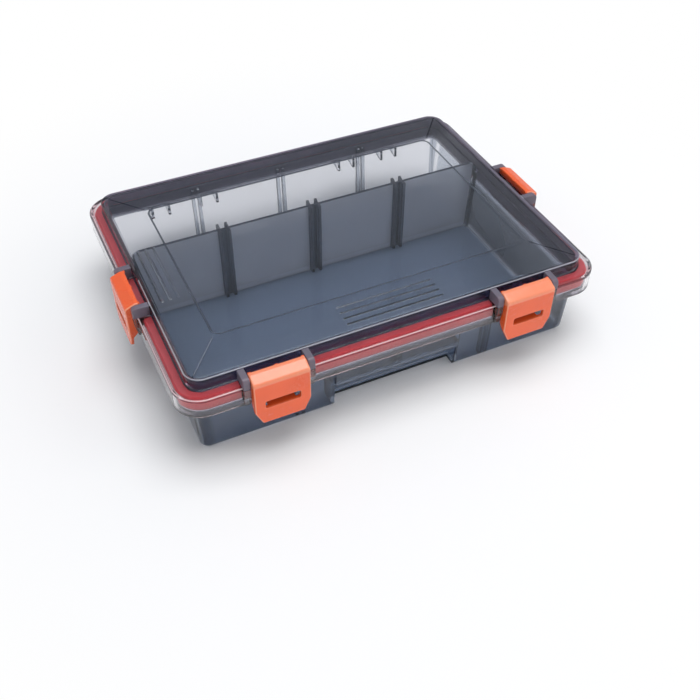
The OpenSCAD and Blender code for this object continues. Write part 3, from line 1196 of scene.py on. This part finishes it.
    def knuckle_outline(self) -> Array:
        """A knuckle's outline about its pin: the hull of a circle and the arm's root.

        The straight sides leave the root's two ends and touch the circle where the
        angle at the centre, off the line to the end, is arccos(r / distance).

        Returns:
            The outline's points, as (forwards, up) from the pin.
        """
        r, (out, low, high) = self.knuckle_r, self.root
        ends = np.array([(out, low), (out, high)])
        reach = np.linalg.norm(ends, axis=1)
        facing = np.arctan2(ends[:, 1], ends[:, 0])
        touch = facing + np.array([-1, 1]) * np.arccos(r / reach)
        t = np.linspace(touch[1], touch[0] + 2 * math.pi, 33)
        return np.concatenate([ends, r * np.stack([np.cos(t), np.sin(t)], 1)])

    def build(self) -> bpy.types.Object:
        """Builds the shell, a pair of ears for each latch, and the two knuckles.

        Returns:
            The lid's object.
        """
        surface = Surface()
        self.shell(surface)
        ear = filleted(self.ear, steps=7, closed=True)
        near, far = self.ear_x
        for side in Side:
            for x0, x1 in ((-far, -near), (near, far)):
                points, faces = rounded_bar(ear, x0, x1, self.end_r[0])
                surface.add(side.place(points), faces)
        middle, half_l = self.knuckle_x
        for x in (-middle, middle):
            points, faces = rounded_bar(
                self.knuckle_outline(), x - half_l, x + half_l, self.end_r[1]
            )
            back, up = self.pin[0] - points[:, 1], self.pin[1] + points[:, 2]
            surface.add(np.stack([points[:, 0], back, up], 1), faces)
        return surface.make("lid_shaped")


@dataclass
class Latch:
    """One swing latch: barrel, bent cover with a slot, side walls, hook and pegs.

    Attributes:
        half_w: Half the latch's width.
        reach: Distance from the pivot out to the face.
        face_t: Thickness of the face.
        drop: Length below the pivot.
        slot: Half width of the slot, and its top and bottom heights.
        cut: Width and height of the cut bottom corners.
        side_t: Thickness of the side walls.
        side_in: Place of the side walls' inner edge.
        edge_r: Radius of the long edges.
        bend_r: Radius of the bend.
        corner_r: Radius of the slot's corners.
        foot_r: Radius of the foot's edge.
        top_pale: Edge share on the top, as a painted highlight.
        highlight_z: How far down the top's painted highlight reaches.
        foot_pale: Least edge share along the foot, as a painted highlight.
        slot_pale: Edge share round the slot, as a painted highlight.
        hook: Corners of the hook, outwards and up from the pivot, with their radii.
        hook_half: Half the hook's width.
        nub: Corners of the nubs on the barrel, likewise.
        nub_x: Both ends of each nub.
        peg_r: Radius of the pegs.
        peg_half: Distance from one peg's end to the latch's middle.
        end_r: Radii of the end edges of hook, nubs and pegs.
    """

    half_w: float = 16.5
    reach: float = 6.2
    face_t: float = 2.2
    drop: float = 30.2
    slot: Triple = (10.5, -13.6, -19.0)
    cut: Pair = (4.0, 8.5)
    side_t: float = 1.8
    side_in: float = 0.9
    edge_r: float = 0.9
    bend_r: float = 1.9
    corner_r: float = 1.2
    foot_r: float = 0.6
    top_pale: float = 0.8
    highlight_z: float = -1.5
    foot_pale: float = 0.8
    slot_pale: float = 0.6
    hook: tuple[Triple, ...] = (
        (4.7, -19.05, 0.1), (-3.4, -19.05, 0.3), (-3.4, -19.9, 0.3), (-0.8, -21.6, 0.5),
        (4.7, -21.6, 0.1),
    )
    hook_half: float = 8.0
    nub: tuple[Triple, ...] = (
        (-3.1, 2.9, 0.3), (-2.0, 2.9, 0.1), (-2.0, 1.9, 0.1), (-3.1, 1.9, 0.3)
    )
    nub_x: tuple[Pair, ...] = ((-16.4, -14.5), (-1.0, 1.0), (14.5, 16.4))
    peg_r: float = 1.5
    peg_half: float = 20.3
    end_r: Triple = (0.3, 0.25, 0.3)

    @property
    def near(self) -> Array:
        """Distances of the grid lines in a corner of the slot from its sides."""
        return self.corner_r * np.array([0.3, 0.6, 1.0])

    def rows(self) -> tuple[Array, Array, Array]:
        """The rows of the cover, from its inner edge down to its foot.

        Returns:
            Three lines of equal length in (outwards, up): the outer skin, the inner
            skin of the face, and the inner edge of the side walls.
        """
        back = self.reach - self.face_t
        bend = filleted(
            [(-2.6, 1.6, 0), (-2.6, 3.0, 0.6), (0.0, 3.0, 3.0), (self.reach, 0.5, self.bend_r),
             (self.reach, -3.0, 0)],
            steps=6,
        )
        along = np.append(0, np.cumsum(np.linalg.norm(np.diff(bend, axis=0), axis=1)))
        share = along / along[-1]
        barrel = [(0, -2.6, -1.3), (0.12, -2.2, -2.0), (0.25, -1.2, -2.7), (0.4, 0.0, -3.0)]
        lining = [(0.6, 2.2, -2.6), (0.78, 3.6, -2.4), (0.88, back, -2.8), (1, back, -3.6)]
        tips = [(0.6, self.side_in, -3.1), (1, self.side_in, -4.2)]
        inner, edge = (
            np.stack([np.interp(share, line[:, 0], line[:, i]) for i in (1, 2)], 1)
            for line in (np.array(barrel + lining), np.array(barrel + tips))
        )
        top, low = self.slot[1:]
        cut_z = self.cut[1] - self.drop
        near = self.near
        b = np.concatenate(
            [
                [-6.0, -9.0, -12.0, top + 0.5, top], top - near, [(top + low) / 2],
                low + near[::-1], [low, low - 0.5, low - 1.3, cut_z + 1.0, cut_z],
                [cut_z - 0.6, -24.0, -26.5, 0.9 - self.drop, self.foot_r - self.drop],
            ]
        )
        straight = [np.stack([np.full(len(b), x), b], 1) for x in (self.reach, back)]
        tip_x = np.interp(-b, [-cut_z - 3.0, -cut_z], [self.side_in, back])
        foot_t = np.linspace(0, math.pi / 2, 5)[1:]
        foot = np.stack(
            [self.reach - self.foot_r * (1 - np.cos(foot_t)),
             -self.drop + self.foot_r * (1 - np.sin(foot_t))], 1
        )
        heel = np.stack([np.full(5, back), np.full(5, -self.drop)], 1)
        heel[:4, 1] += np.linspace(0.4, 0.05, 4)
        outer = np.concatenate([bend, straight[0], foot, [[foot[-1, 0] - 0.4, -self.drop]]])
        inner = np.concatenate([inner, straight[1], heel])
        edge = np.concatenate([edge, np.stack([tip_x, b], 1), heel])
        return outer, inner, edge

    def round_slot(self, points: Array) -> Array:
        """Bends the grid round the slot's corners.

        The distances past the centre of a corner, as shares of its radius, are d. A
        point within the corner's square moves to the direction of d, at the distance
        of d's larger part.

        Args:
            points: Grid points as (x, outwards, up).

        Returns:
            The points, one row each.
        """
        half_w, top, low = self.slot
        middle = (top + low) / 2
        flat = points[..., [0, 2]] - (0, middle)
        centre = np.array([half_w, top - middle]) - self.corner_r
        d = (np.abs(flat) - centre) / self.corner_r
        inside = (d > 0).all(-1) & (d < 1.001).all(-1)
        bent = centre + unit(d) * d.max(-1, keepdims=True) * self.corner_r
        flat = np.where(inside[..., None], np.sign(flat) * bent, flat) + (0, middle)
        return np.stack([flat[..., 0], points[..., 1], flat[..., 1]], -1).reshape(-1, 3)

    def cover(self, surface: Surface) -> None:
        """Adds the bent cover with its side walls and slot.

        Each row is a channel section: from a side wall's inner edge out to the face,
        round the corner, across, and back, then the same again one wall's thickness
        further in. A column's depth behind the face is a share of the row's depth plus
        a fixed part, and the corner is a quarter circle in width and depth.

        Args:
            surface: The surface that it becomes a part of.
        """
        outer, inner, edge = self.rows()
        t = np.linspace(0, math.pi / 2, 6)
        r, w = self.edge_r, self.half_w
        half_slot = self.slot[0]
        corner_x = -w + r * (1 - np.cos(t))
        corner_depth = r * (1 - np.sin(t))
        near = self.near
        flat = np.concatenate(
            [[r + 0.4 - w, -half_slot - 1.6, -half_slot - 0.5, -half_slot],
             near - half_slot, [-7.0, -3.5, 0.0]]
        )
        x = np.concatenate([[-w, -w, -w], corner_x, flat])
        fixed = np.concatenate([[0, 0, r + 0.4], corner_depth, np.zeros(len(flat))])
        part = np.concatenate([[1.0, 0.55], np.zeros(len(x) - 2)])
        x = np.concatenate([x, -x[-2::-1]])
        fixed, part = (np.concatenate([v, v[-2::-1]]) for v in (fixed, part))
        deep = np.linalg.norm(edge - outer, axis=1)[:, None]
        back = unit(edge - outer)[:, None]
        depth = (part * deep + fixed)[..., None]
        skin = outer[:, None] + back * depth
        lining = inner[:, None] + (edge - inner)[:, None] * part[None, :, None]
        cut_z = self.cut[1] - self.drop
        narrow = 1 - self.cut[0] / w * np.clip((cut_z - outer[:, 1]) / self.cut[1], 0, 1)
        wide = narrow[:, None] * x
        tight = narrow[:, None] * np.clip(x, self.side_t - w, w - self.side_t)
        shape = wide.shape
        points = np.concatenate(
            [
                self.round_slot(np.concatenate([wide[..., None], skin], -1)),
                self.round_slot(np.concatenate([tight[..., None], lining], -1)),
            ]
        )
        numbers = np.arange(shape[0] * shape[1]).reshape(shape)
        low, high = np.searchsorted(-outer[:, 1], [-self.slot[1] - 1e-6, -self.slot[2] - 1e-6])
        hole = np.zeros((shape[0] - 1, shape[1] - 1), bool)
        left = int(np.argmin(np.abs(x + half_slot)))
        right = int(np.argmin(np.abs(x - half_slot)))
        hole[low:high, left:right] = True
        size = numbers.size
        front = grid_quads(*shape)[~hole.ravel()]
        behind = (grid_quads(*shape) + size)[~hole.ravel()][:, ::-1]
        ring = outer_ring(numbers)
        well = outer_ring(numbers[low : high + 1, left : right + 1])
        side = loop_quads(np.stack([ring, ring + size]), closed=False)
        wall = loop_quads(np.stack([well, well + size]), closed=False)[:, ::-1]
        # The edge share paints highlights on the long rounded edges, round the slot, along the
        # foot and over the top.
        share = np.zeros(shape)
        share[:, 3:9] = np.sin(2 * t)
        share += share[:, ::-1]
        share[low : high + 1, [left, right]] = self.slot_pale
        share[[low, high], left : right + 1] = self.slot_pale
        share[-5:-1] = np.maximum(share[-5:-1], self.foot_pale)
        bent = outer[:, 1] > self.highlight_z
        share[bent] = np.maximum(share[bent], self.top_pale)
        edge_share = np.concatenate([share.ravel(), np.zeros(size)])
        surface.add(
            points, as_faces(np.concatenate([front, behind, side, wall])), edge_share
        )

    def build(self, side: Side) -> bpy.types.Object:
        """Builds the latch in its place.

        Args:
            side: Where it hangs.

        Returns:
            The latch's object.
        """
        surface = Surface()
        self.cover(surface)
        hook, nub = (filleted(c, steps=3, closed=True) for c in (self.hook, self.nub))
        turn = np.linspace(0, 2 * math.pi, 24, endpoint=False)
        peg = self.peg_r * np.stack([np.cos(turn), np.sin(turn)], 1)
        hook_r, nub_r, peg_r = self.end_r
        for outline, x0, x1, fillet in (
            (hook, -self.hook_half, self.hook_half, hook_r),
            *((nub, *ends, nub_r) for ends in self.nub_x),
            (peg, -self.peg_half, self.peg_half, peg_r),
        ):
            points, faces = rounded_bar(outline, x0, x1, fillet)
            surface.add(points, faces)
        surface.points = [side.place(p) for p in surface.points]
        return surface.make(side.value[0] + "_shaped")


@dataclass
class Seal:
    """The soft seal ring on the tray's shelf, under the lid's flange.

    Attributes:
        plan: The box's plan.
        shelf_z: Height of the shelf it lies on.
        crown_z: Height of its crown.
        insets: Its outer and inner faces.
        shoulder: Width of the ledge on each side of the crown.
        crown_h: Height of the crown above the ledges.
        corner_r: Corner radius of the flange above it.
        counts: Points in a corner and along a straight side.
    """

    plan: Plan
    shelf_z: float = 43.02
    crown_z: float = 49.8
    insets: Pair = (3.2, 8.95)
    shoulder: float = 0.45
    crown_h: float = 1.2
    corner_r: float = 17.0
    counts: tuple[int, int] = (9, 24)

    def build(self) -> bpy.types.Object:
        """Carries the rounded section round the box; an inset lessens its corner radius.

        Returns:
            The seal's object.
        """
        (out, inner), r = self.insets, self.corner_r
        ledge = self.crown_z - self.crown_h
        profile = filleted(
            [
                (out, self.shelf_z, 0.2),
                (out, ledge, 0.3),
                (out + self.shoulder, ledge, 0.1),
                (out + self.shoulder, self.crown_z, 0.7),
                (inner - self.shoulder, self.crown_z, 0.7),
                (inner - self.shoulder, ledge, 0.1),
                (inner, ledge, 0.3),
                (inner, self.shelf_z, 0.2),
            ],
            ease=0.15,
            closed=True,
        )
        bend, straight = self.counts
        lines = tuple(
            np.concatenate(
                [-h + r * np.linspace(0, 1, bend), np.linspace(r - h, h - r, straight)[1:-1],
                 h - r * np.linspace(1, 0, bend)]
            )
            for h in (self.plan.half_w, self.plan.half_d)
        )
        lattice = Lattice.through(self.plan, 0.0, lines)
        rings = lattice.rings(profile, r - profile[:, 0])
        index = np.arange(rings.shape[0] * rings.shape[1]).reshape(rings.shape[:2])
        surface = Surface()
        surface.add(rings.reshape(-1, 3), as_faces(loop_quads(index, closed=True)))
        return surface.make("seal_shaped")


# ---- studio ----


@dataclass(frozen=True)
class Studio:
    """Pale floor, soft light, and the camera.

    Attributes:
        eye: The camera's place, in metres.
        target: The point it looks at.
        roll_deg: Its turn about its own axis.
        lens: Focal length in millimetres on a 36 mm sensor.
        floor_z: The floor's height, a hair under the tray, in millimetres.
        floor_half: Half its side, in millimetres.
        lamps: Each lamp's name, place and side in metres, and power in watts.
        sky_high: The world's colour all round.
        sky_low: Its colour where the flat roof reflects it.
        sky_strength: Its strength.
        dark_towards: Direction (back, up) of that patch.
        dark_from: Cosines over which it fades in.
    """

    eye: Triple = (-0.1959, -0.4335, 0.412)
    target: Triple = (-0.03507, -0.09957, 0.052)
    roll_deg: float = 0.555
    lens: float = 36.0 * 928.0 / 700.0
    floor_z: float = -0.4
    floor_half: float = 4000.0
    lamps: tuple[tuple[str, Triple, float, float], ...] = (
        ("overhead", (0.12, -0.05, 1.5), 1.1, 13.5),
        ("side", (1.3, -0.9, 0.9), 0.8, 3.0),
    )
    sky_high: Colour = (0.85, 0.86, 0.88)
    sky_low: Colour = (0.45, 0.50, 0.58)
    sky_strength: float = 0.66
    dark_towards: Pair = (0.72, 0.69)
    dark_from: Pair = (0.6, 0.98)

    def camera(self) -> None:
        """Sets the camera at the photograph's angle.

        Right is forward x up, turned by the roll towards up, and up turns with it.
        """
        data = bpy.data.cameras.new("camera")
        data.sensor_width, data.lens = 36.0, self.lens
        data.clip_start = 0.01
        ahead = unit(np.subtract(self.target, self.eye))
        right = unit(np.cross(ahead, (0, 0, 1)))
        up = np.cross(right, ahead)
        c, s = math.cos(math.radians(self.roll_deg)), math.sin(math.radians(self.roll_deg))
        axes = np.stack([c * right + s * up, c * up - s * right, -ahead, self.eye], 1)
        made = bpy.data.objects.new("camera", data)
        made.matrix_world = Matrix([*axes.tolist(), (0, 0, 0, 1)])
        bpy.context.scene.collection.objects.link(made)
        bpy.context.scene.camera = made

    def floor(self) -> None:
        """Lays a large flat floor."""
        x = np.linspace(-self.floor_half, self.floor_half, 9)
        flat = np.stack(np.meshgrid(x, x, indexing="ij"), -1).reshape(-1, 2)
        points = np.concatenate([flat, np.full((len(flat), 1), self.floor_z)], 1) * MM
        mesh = bpy.data.meshes.new("floor")
        mesh.from_pydata(points.tolist(), [], as_faces(grid_quads(9, 9)))
        mesh.materials.append(FloorPaper("floor_paper").make())
        made = bpy.data.objects.new("floor", mesh)
        bpy.context.scene.collection.objects.link(made)

    def lamp(self, name: str, eye: Triple, size: float, watts: float) -> None:
        """Hangs one soft square lamp, aimed at the box.

        Args:
            name: The lamp's name.
            eye: Its place, in metres.
            size: Its side, in metres.
            watts: Its power.
        """
        data = bpy.data.lights.new(name, "AREA")
        data.size, data.energy = size, watts
        made = bpy.data.objects.new(name, data)
        made.location = eye
        aim = Vector((0.0, 0.0, 0.03)) - Vector(eye)
        made.rotation_euler = aim.to_track_quat("-Z", "Y").to_euler()
        bpy.context.scene.collection.objects.link(made)

    def sky(self) -> None:
        """Sets the world: pale, with a dark patch where the flat roof reflects it."""
        world = bpy.data.worlds.new("studio")
        bpy.context.scene.world = world
        net = Net(world)
        towards = net.node("TexCoord").outputs["Generated"]
        split = net.node("SeparateXYZ", {0: towards})
        up, back = Value(net, split.outputs["Z"]), Value(net, split.outputs["Y"])
        to_back, to_up = self.dark_towards
        share = (back * to_back + up * to_up).step(*self.dark_from)
        colour = net.blend(share, self.sky_high, self.sky_low)
        made = net.node("Background", {"Color": colour, "Strength": self.sky_strength})
        net.output(made.outputs[0], "OutputWorld")

    def build(self) -> None:
        """Sets up the camera, the floor, the lamps and the world."""
        self.camera()
        self.floor()
        for lamp in self.lamps:
            self.lamp(*lamp)
        self.sky()
        bpy.context.scene.view_settings.view_transform = "Standard"


# ---- the whole box ----


# Half width, half depth and corner radius of the outlines that the zones follow.
FLANGE = (135.0, 102.5, 17.0)
WALL = (126.7, 94.2, 10.0)
PANEL = (102.1, 64.7, 5.0)
HIP = ((102.7, 65.3), (123.8, 91.3))  # two points of the roof's slanting hip
BACK_AND_RIGHT = (0.6, 0.8, 0.0)  # faces away from the front and the left


@dataclass
class TackleBox:
    """The whole box: its sub-assemblies and their finishes.

    Attributes:
        plan: The rounded rectangles that its rings follow.
        clear: The lid's finish.
        smoke: The tray's.
        plate: The partition's.
        rubber: The seal's.
        orange: The latches'.
        wire: The hinge pins'.
        side_pale: Edge share on the side latches' tops, a weaker painted highlight than on the
            front latches.
    """

    plan: Plan = field(default_factory=Plan)
    clear: ClearPlastic = ClearPlastic(
        "lid_clear",
        (0.90, 0.91, 0.94),
        (
            Zone((0.88, 0.86, 0.87), z=(0.0, 52.2)),
            # Painted light: the seal's red, as if bent out through the flange's edge.
            Zone(
                (0.94, 0.52, 0.55), z=(50.0, 52.3), outline=FLANGE, off=(-3.4, 0.2),
                facing=(-0.7, -0.7, -25.0),
            ),
            # Painted shade: dark line on the flange's outer rounding.
            Zone((0.30, 0.25, 0.30), z=(50.6, 51.4), outline=FLANGE, off=(-0.4, 0.2)),
            # Painted shade: dark outline of the flange's edge at the back and right.
            Zone(
                (0.20, 0.17, 0.20), z=(50.2, 52.2), outline=FLANGE, off=(-0.5, 0.2),
                facing=(0.5, 1.0, -60.0),
            ),
            Zone((0.52, 0.49, 0.57), z=(52.3, 62.0), outline=WALL, off=(0.6, 100.0)),
            # Painted shade: dark plateau wall.
            Zone((0.18, 0.14, 0.22), z=(49.5, 58.8), outline=WALL, off=(-2.6, 0.25)),
            # Painted shade: dark line in the roof's hip.
            Zone(
                (0.10, 0.10, 0.14), z=(58.9, 61.0), x=(103.2, 123.6), line=HIP, line_half=0.5
            ),
        ),
        painted_light=(
            # Painted highlight: pale line on the plateau's front top edge.
            Zone(
                (0.60, 0.60, 0.68), z=(58.75, 59.3), outline=WALL, off=(-0.7, 0.2),
                facing=(0.0, -1.0, 0.0), weight=0.5,
            ),
            # Painted highlight: pink line on the flange's outer top edge.
            Zone(
                (1.0, 0.74, 0.77), z=(51.5, 52.2), outline=FLANGE, off=(-0.9, 0.15),
                facing=(-0.5, -1.0, 60.0), weight=0.55,
            ),
            # Painted highlight: pale line beside the hip.
            Zone(
                (0.42, 0.45, 0.53), z=(58.9, 61.0), x=(103.2, 122.0), line=HIP,
                line_half=0.25, facing=(-1.0, -1.0, 100.0), weight=0.4,
            ),
            # Painted shade: dark line round the panel.
            Zone(
                (0.03, 0.036, 0.05), z=(59.0, 61.0), outline=PANEL, off=(-0.6, 0.4), weight=0.85
            ),
            # Painted shade: dark inner wall at the back and right.
            Zone(
                (0.17, 0.15, 0.21), z=(49.5, 60.0), outline=WALL, off=(-2.6, -0.3),
                facing=BACK_AND_RIGHT, weight=0.7,
            ),
            # Painted shade on the ears.
            Zone(
                (0.19, 0.17, 0.22), z=(52.3, 62.0), outline=WALL, off=(0.6, 100.0),
                weight=0.7,
            ),
            # Painted shade on the ribs' outer sides and the panel's line.
            Zone(
                (0.07, 0.085, 0.12), z=(58.9, 62.0), outline=WALL, off=(-90.0, -3.0),
                marked=True, weight=0.45,
            ),
            # Painted shade: dark outline of the flange's edge.
            Zone(
                (0.05, 0.045, 0.06), z=(50.2, 52.2), outline=FLANGE, off=(-0.5, 0.3),
                facing=(0.5, 1.0, -42.0), weight=0.6,
            ),
            # Painted shade on the flange and the skirt at the right.
            Zone(
                (0.12, 0.10, 0.14), z=(49.0, 56.0), outline=FLANGE, off=(-9.0, 0.8),
                facing=(1.0, 0.6, 92.0), soft=4.0, weight=0.75,
            ),
            # Painted shade along the skirt's bottom edge.
            Zone(
                (0.17, 0.19, 0.18), z=(36.0, 41.0), outline=FLANGE, off=(-0.6, 0.3),
                soft=3.0, weight=0.4,
            ),
        ),
    )
    smoke: ClearPlastic = ClearPlastic(
        "tray_smoke",
        (0.57, 0.60, 0.65),
        (
            Zone((0.42, 0.46, 0.54), z=(-40.0, 10.0), soft=20.0),
            # Painted light: the back wall is clearer than the rest, lighting the back bay more.
            Zone((0.86, 0.86, 0.87), z=(2.0, 41.0), y=(80.0, 96.0), facing=(0.0, 1.0, 0.0)),
            # Painted shade: darker end walls, except near the back.
            Zone(
                (0.27, 0.30, 0.36), z=(3.0, 60.0), x=(117.0, 200.0), facing=(0.0, -1.0, -45.0),
                soft=6.0,
            ),
            Zone((0.56, 0.65, 0.78), z=(-1.0, 2.0)),
            # Painted light: a pool of light on the floor near the back wall.
            Zone(
                (0.93, 0.94, 0.96), z=(-1.0, 2.0), y=(64.0, 180.0), facing=(0.0, 1.0, 0.0),
                soft=50.0,
            ),
            Zone((0.45, 0.42, 0.48), z=(37.4, 60.0), outline=FLANGE, off=(-8.9, 1.0)),
            # Painted shade: dark line under the rim.
            Zone((0.10, 0.10, 0.14), z=(40.0, 41.0), outline=FLANGE, off=(-9.6, -8.0)),
            Zone((0.30, 0.33, 0.38), z=(3.0, 43.0), x=(0.9, 2.9), y=(84.0, 92.0), pitch=62.5),
        ),
        painted_light=(
            # Painted shade on the rim at the back and right.
            Zone(
                (0.16, 0.145, 0.20), z=(40.9, 49.5), outline=FLANGE, off=(-11.4, -8.6),
                facing=BACK_AND_RIGHT, weight=0.7,
            ),
            # Painted shade on the right end wall.
            Zone(
                (0.12, 0.145, 0.19), z=(4.0, 38.0), x=(117.0, 200.0),
                facing=(1.0, -1.0, 80.0), soft=5.0, weight=0.45,
            ),
        ),
        roughness=0.05,
    )
    plate: ClearPlastic = ClearPlastic(
        "partition_smoke",
        (0.76, 0.79, 0.83),
        (
            Zone((0.45, 0.48, 0.54), z=(3.0, 60.0), x=(-1.0, 3.9), pitch=62.5),
            Zone((0.26, 0.29, 0.35), z=(3.0, 60.0), x=(-1.0, 1.9), pitch=62.5, soft=0.8),
            Zone((0.14, 0.15, 0.19), z=(55.5, 60.0), x=(-1.0, 3.9), pitch=62.5),
        ),
        painted_light=(
            # Painted light: paler face between the posts.
            Zone(
                (0.84, 0.89, 1.0), z=(2.0, 55.1), x=(4.1, 40.0), pitch=62.5, soft=0.8,
                weight=0.5,
            ),
            # Painted shade on the posts.
            Zone(
                (0.10, 0.115, 0.15), z=(3.0, 55.1), x=(-1.0, 3.9), pitch=62.5, soft=0.8,
                weight=0.45,
            ),
            # Painted shade: dark band along the top edge.
            Zone((0.05, 0.055, 0.075), z=(55.15, 60.0), soft=0.2, weight=0.85),
            # Painted highlight: pale line along the foot.
            Zone(
                (0.50, 0.55, 0.65), z=(2.6, 6.0), x=(4.6, 40.0), pitch=62.5, soft=1.6,
                weight=0.85,
            ),
        ),
        roughness=0.05,
    )
    rubber: MouldedPlastic = MouldedPlastic(
        "seal_red", (0.94, 0.12, 0.14), (0.98, 0.24, 0.26), roughness=0.38
    )
    # The latches' edge colour is their painted highlight.
    orange: MouldedPlastic = MouldedPlastic(
        "latch_orange", (0.94, 0.115, 0.016), (1.0, 0.50, 0.31), roughness=0.26, sheen=0.9,
        glow=0.15,
    )
    wire: DrawnWire = DrawnWire("pin_steel")
    side_pale: float = 0.2

    def dress(self, piece: bpy.types.Object, material: bpy.types.Material) -> None:
        """Gives a piece one material."""
        piece.data.materials.clear()
        piece.data.materials.append(material)

    def add(
        self, piece: bpy.types.Object, node: str, body: str, slot: str,
        material: bpy.types.Material,
    ) -> None:
        """Puts a new piece in its node's place.

        Args:
            piece: The new piece.
            node: The node it stands for.
            body: The body it moves with.
            slot: Its material slot in the record; not used.
            material: Its finish.
        """
        self.dress(piece, material)
        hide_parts(node)
        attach(piece, body)
        LOG.info("%s: %d faces", piece.name, len(piece.data.polygons))

    def build(self) -> None:
        """Builds and dresses every piece."""
        clear, smoke, plate = self.clear.make(), self.smoke.make(), self.plate.make()
        rubber, orange, wire = self.rubber.make(), self.orange.make(), self.wire.make()
        self.add(Lid(self.plan).build(), "lid", "lid", "lid_clear", clear)
        self.add(Seal(self.plan).build(), "seal", "tray", "seal_red", rubber)
        for side in Side:
            name, _, turn_deg = side.value
            # The side latches' tops get a weaker painted highlight.
            latch = Latch(top_pale=self.side_pale) if turn_deg else Latch()
            self.add(latch.build(side), name, name, "latch_orange", orange)
        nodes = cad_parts
        self.dress(nodes["tray"], smoke)
        self.dress(nodes["partition"], plate)
        for name in ("hinge_pin_left", "hinge_pin_right"):
            self.dress(nodes[name], wire)
        for name in ("tray", "partition", "hinge_pin_left", "hinge_pin_right"):
            LOG.info("%s: packed solid, dressed", name)


def main() -> None:
    """Builds the box and its studio."""
    logging.basicConfig(level=logging.INFO, format="%(message)s")
    TackleBox().build()
    Studio().build()


if __name__ == "__main__":
    main()
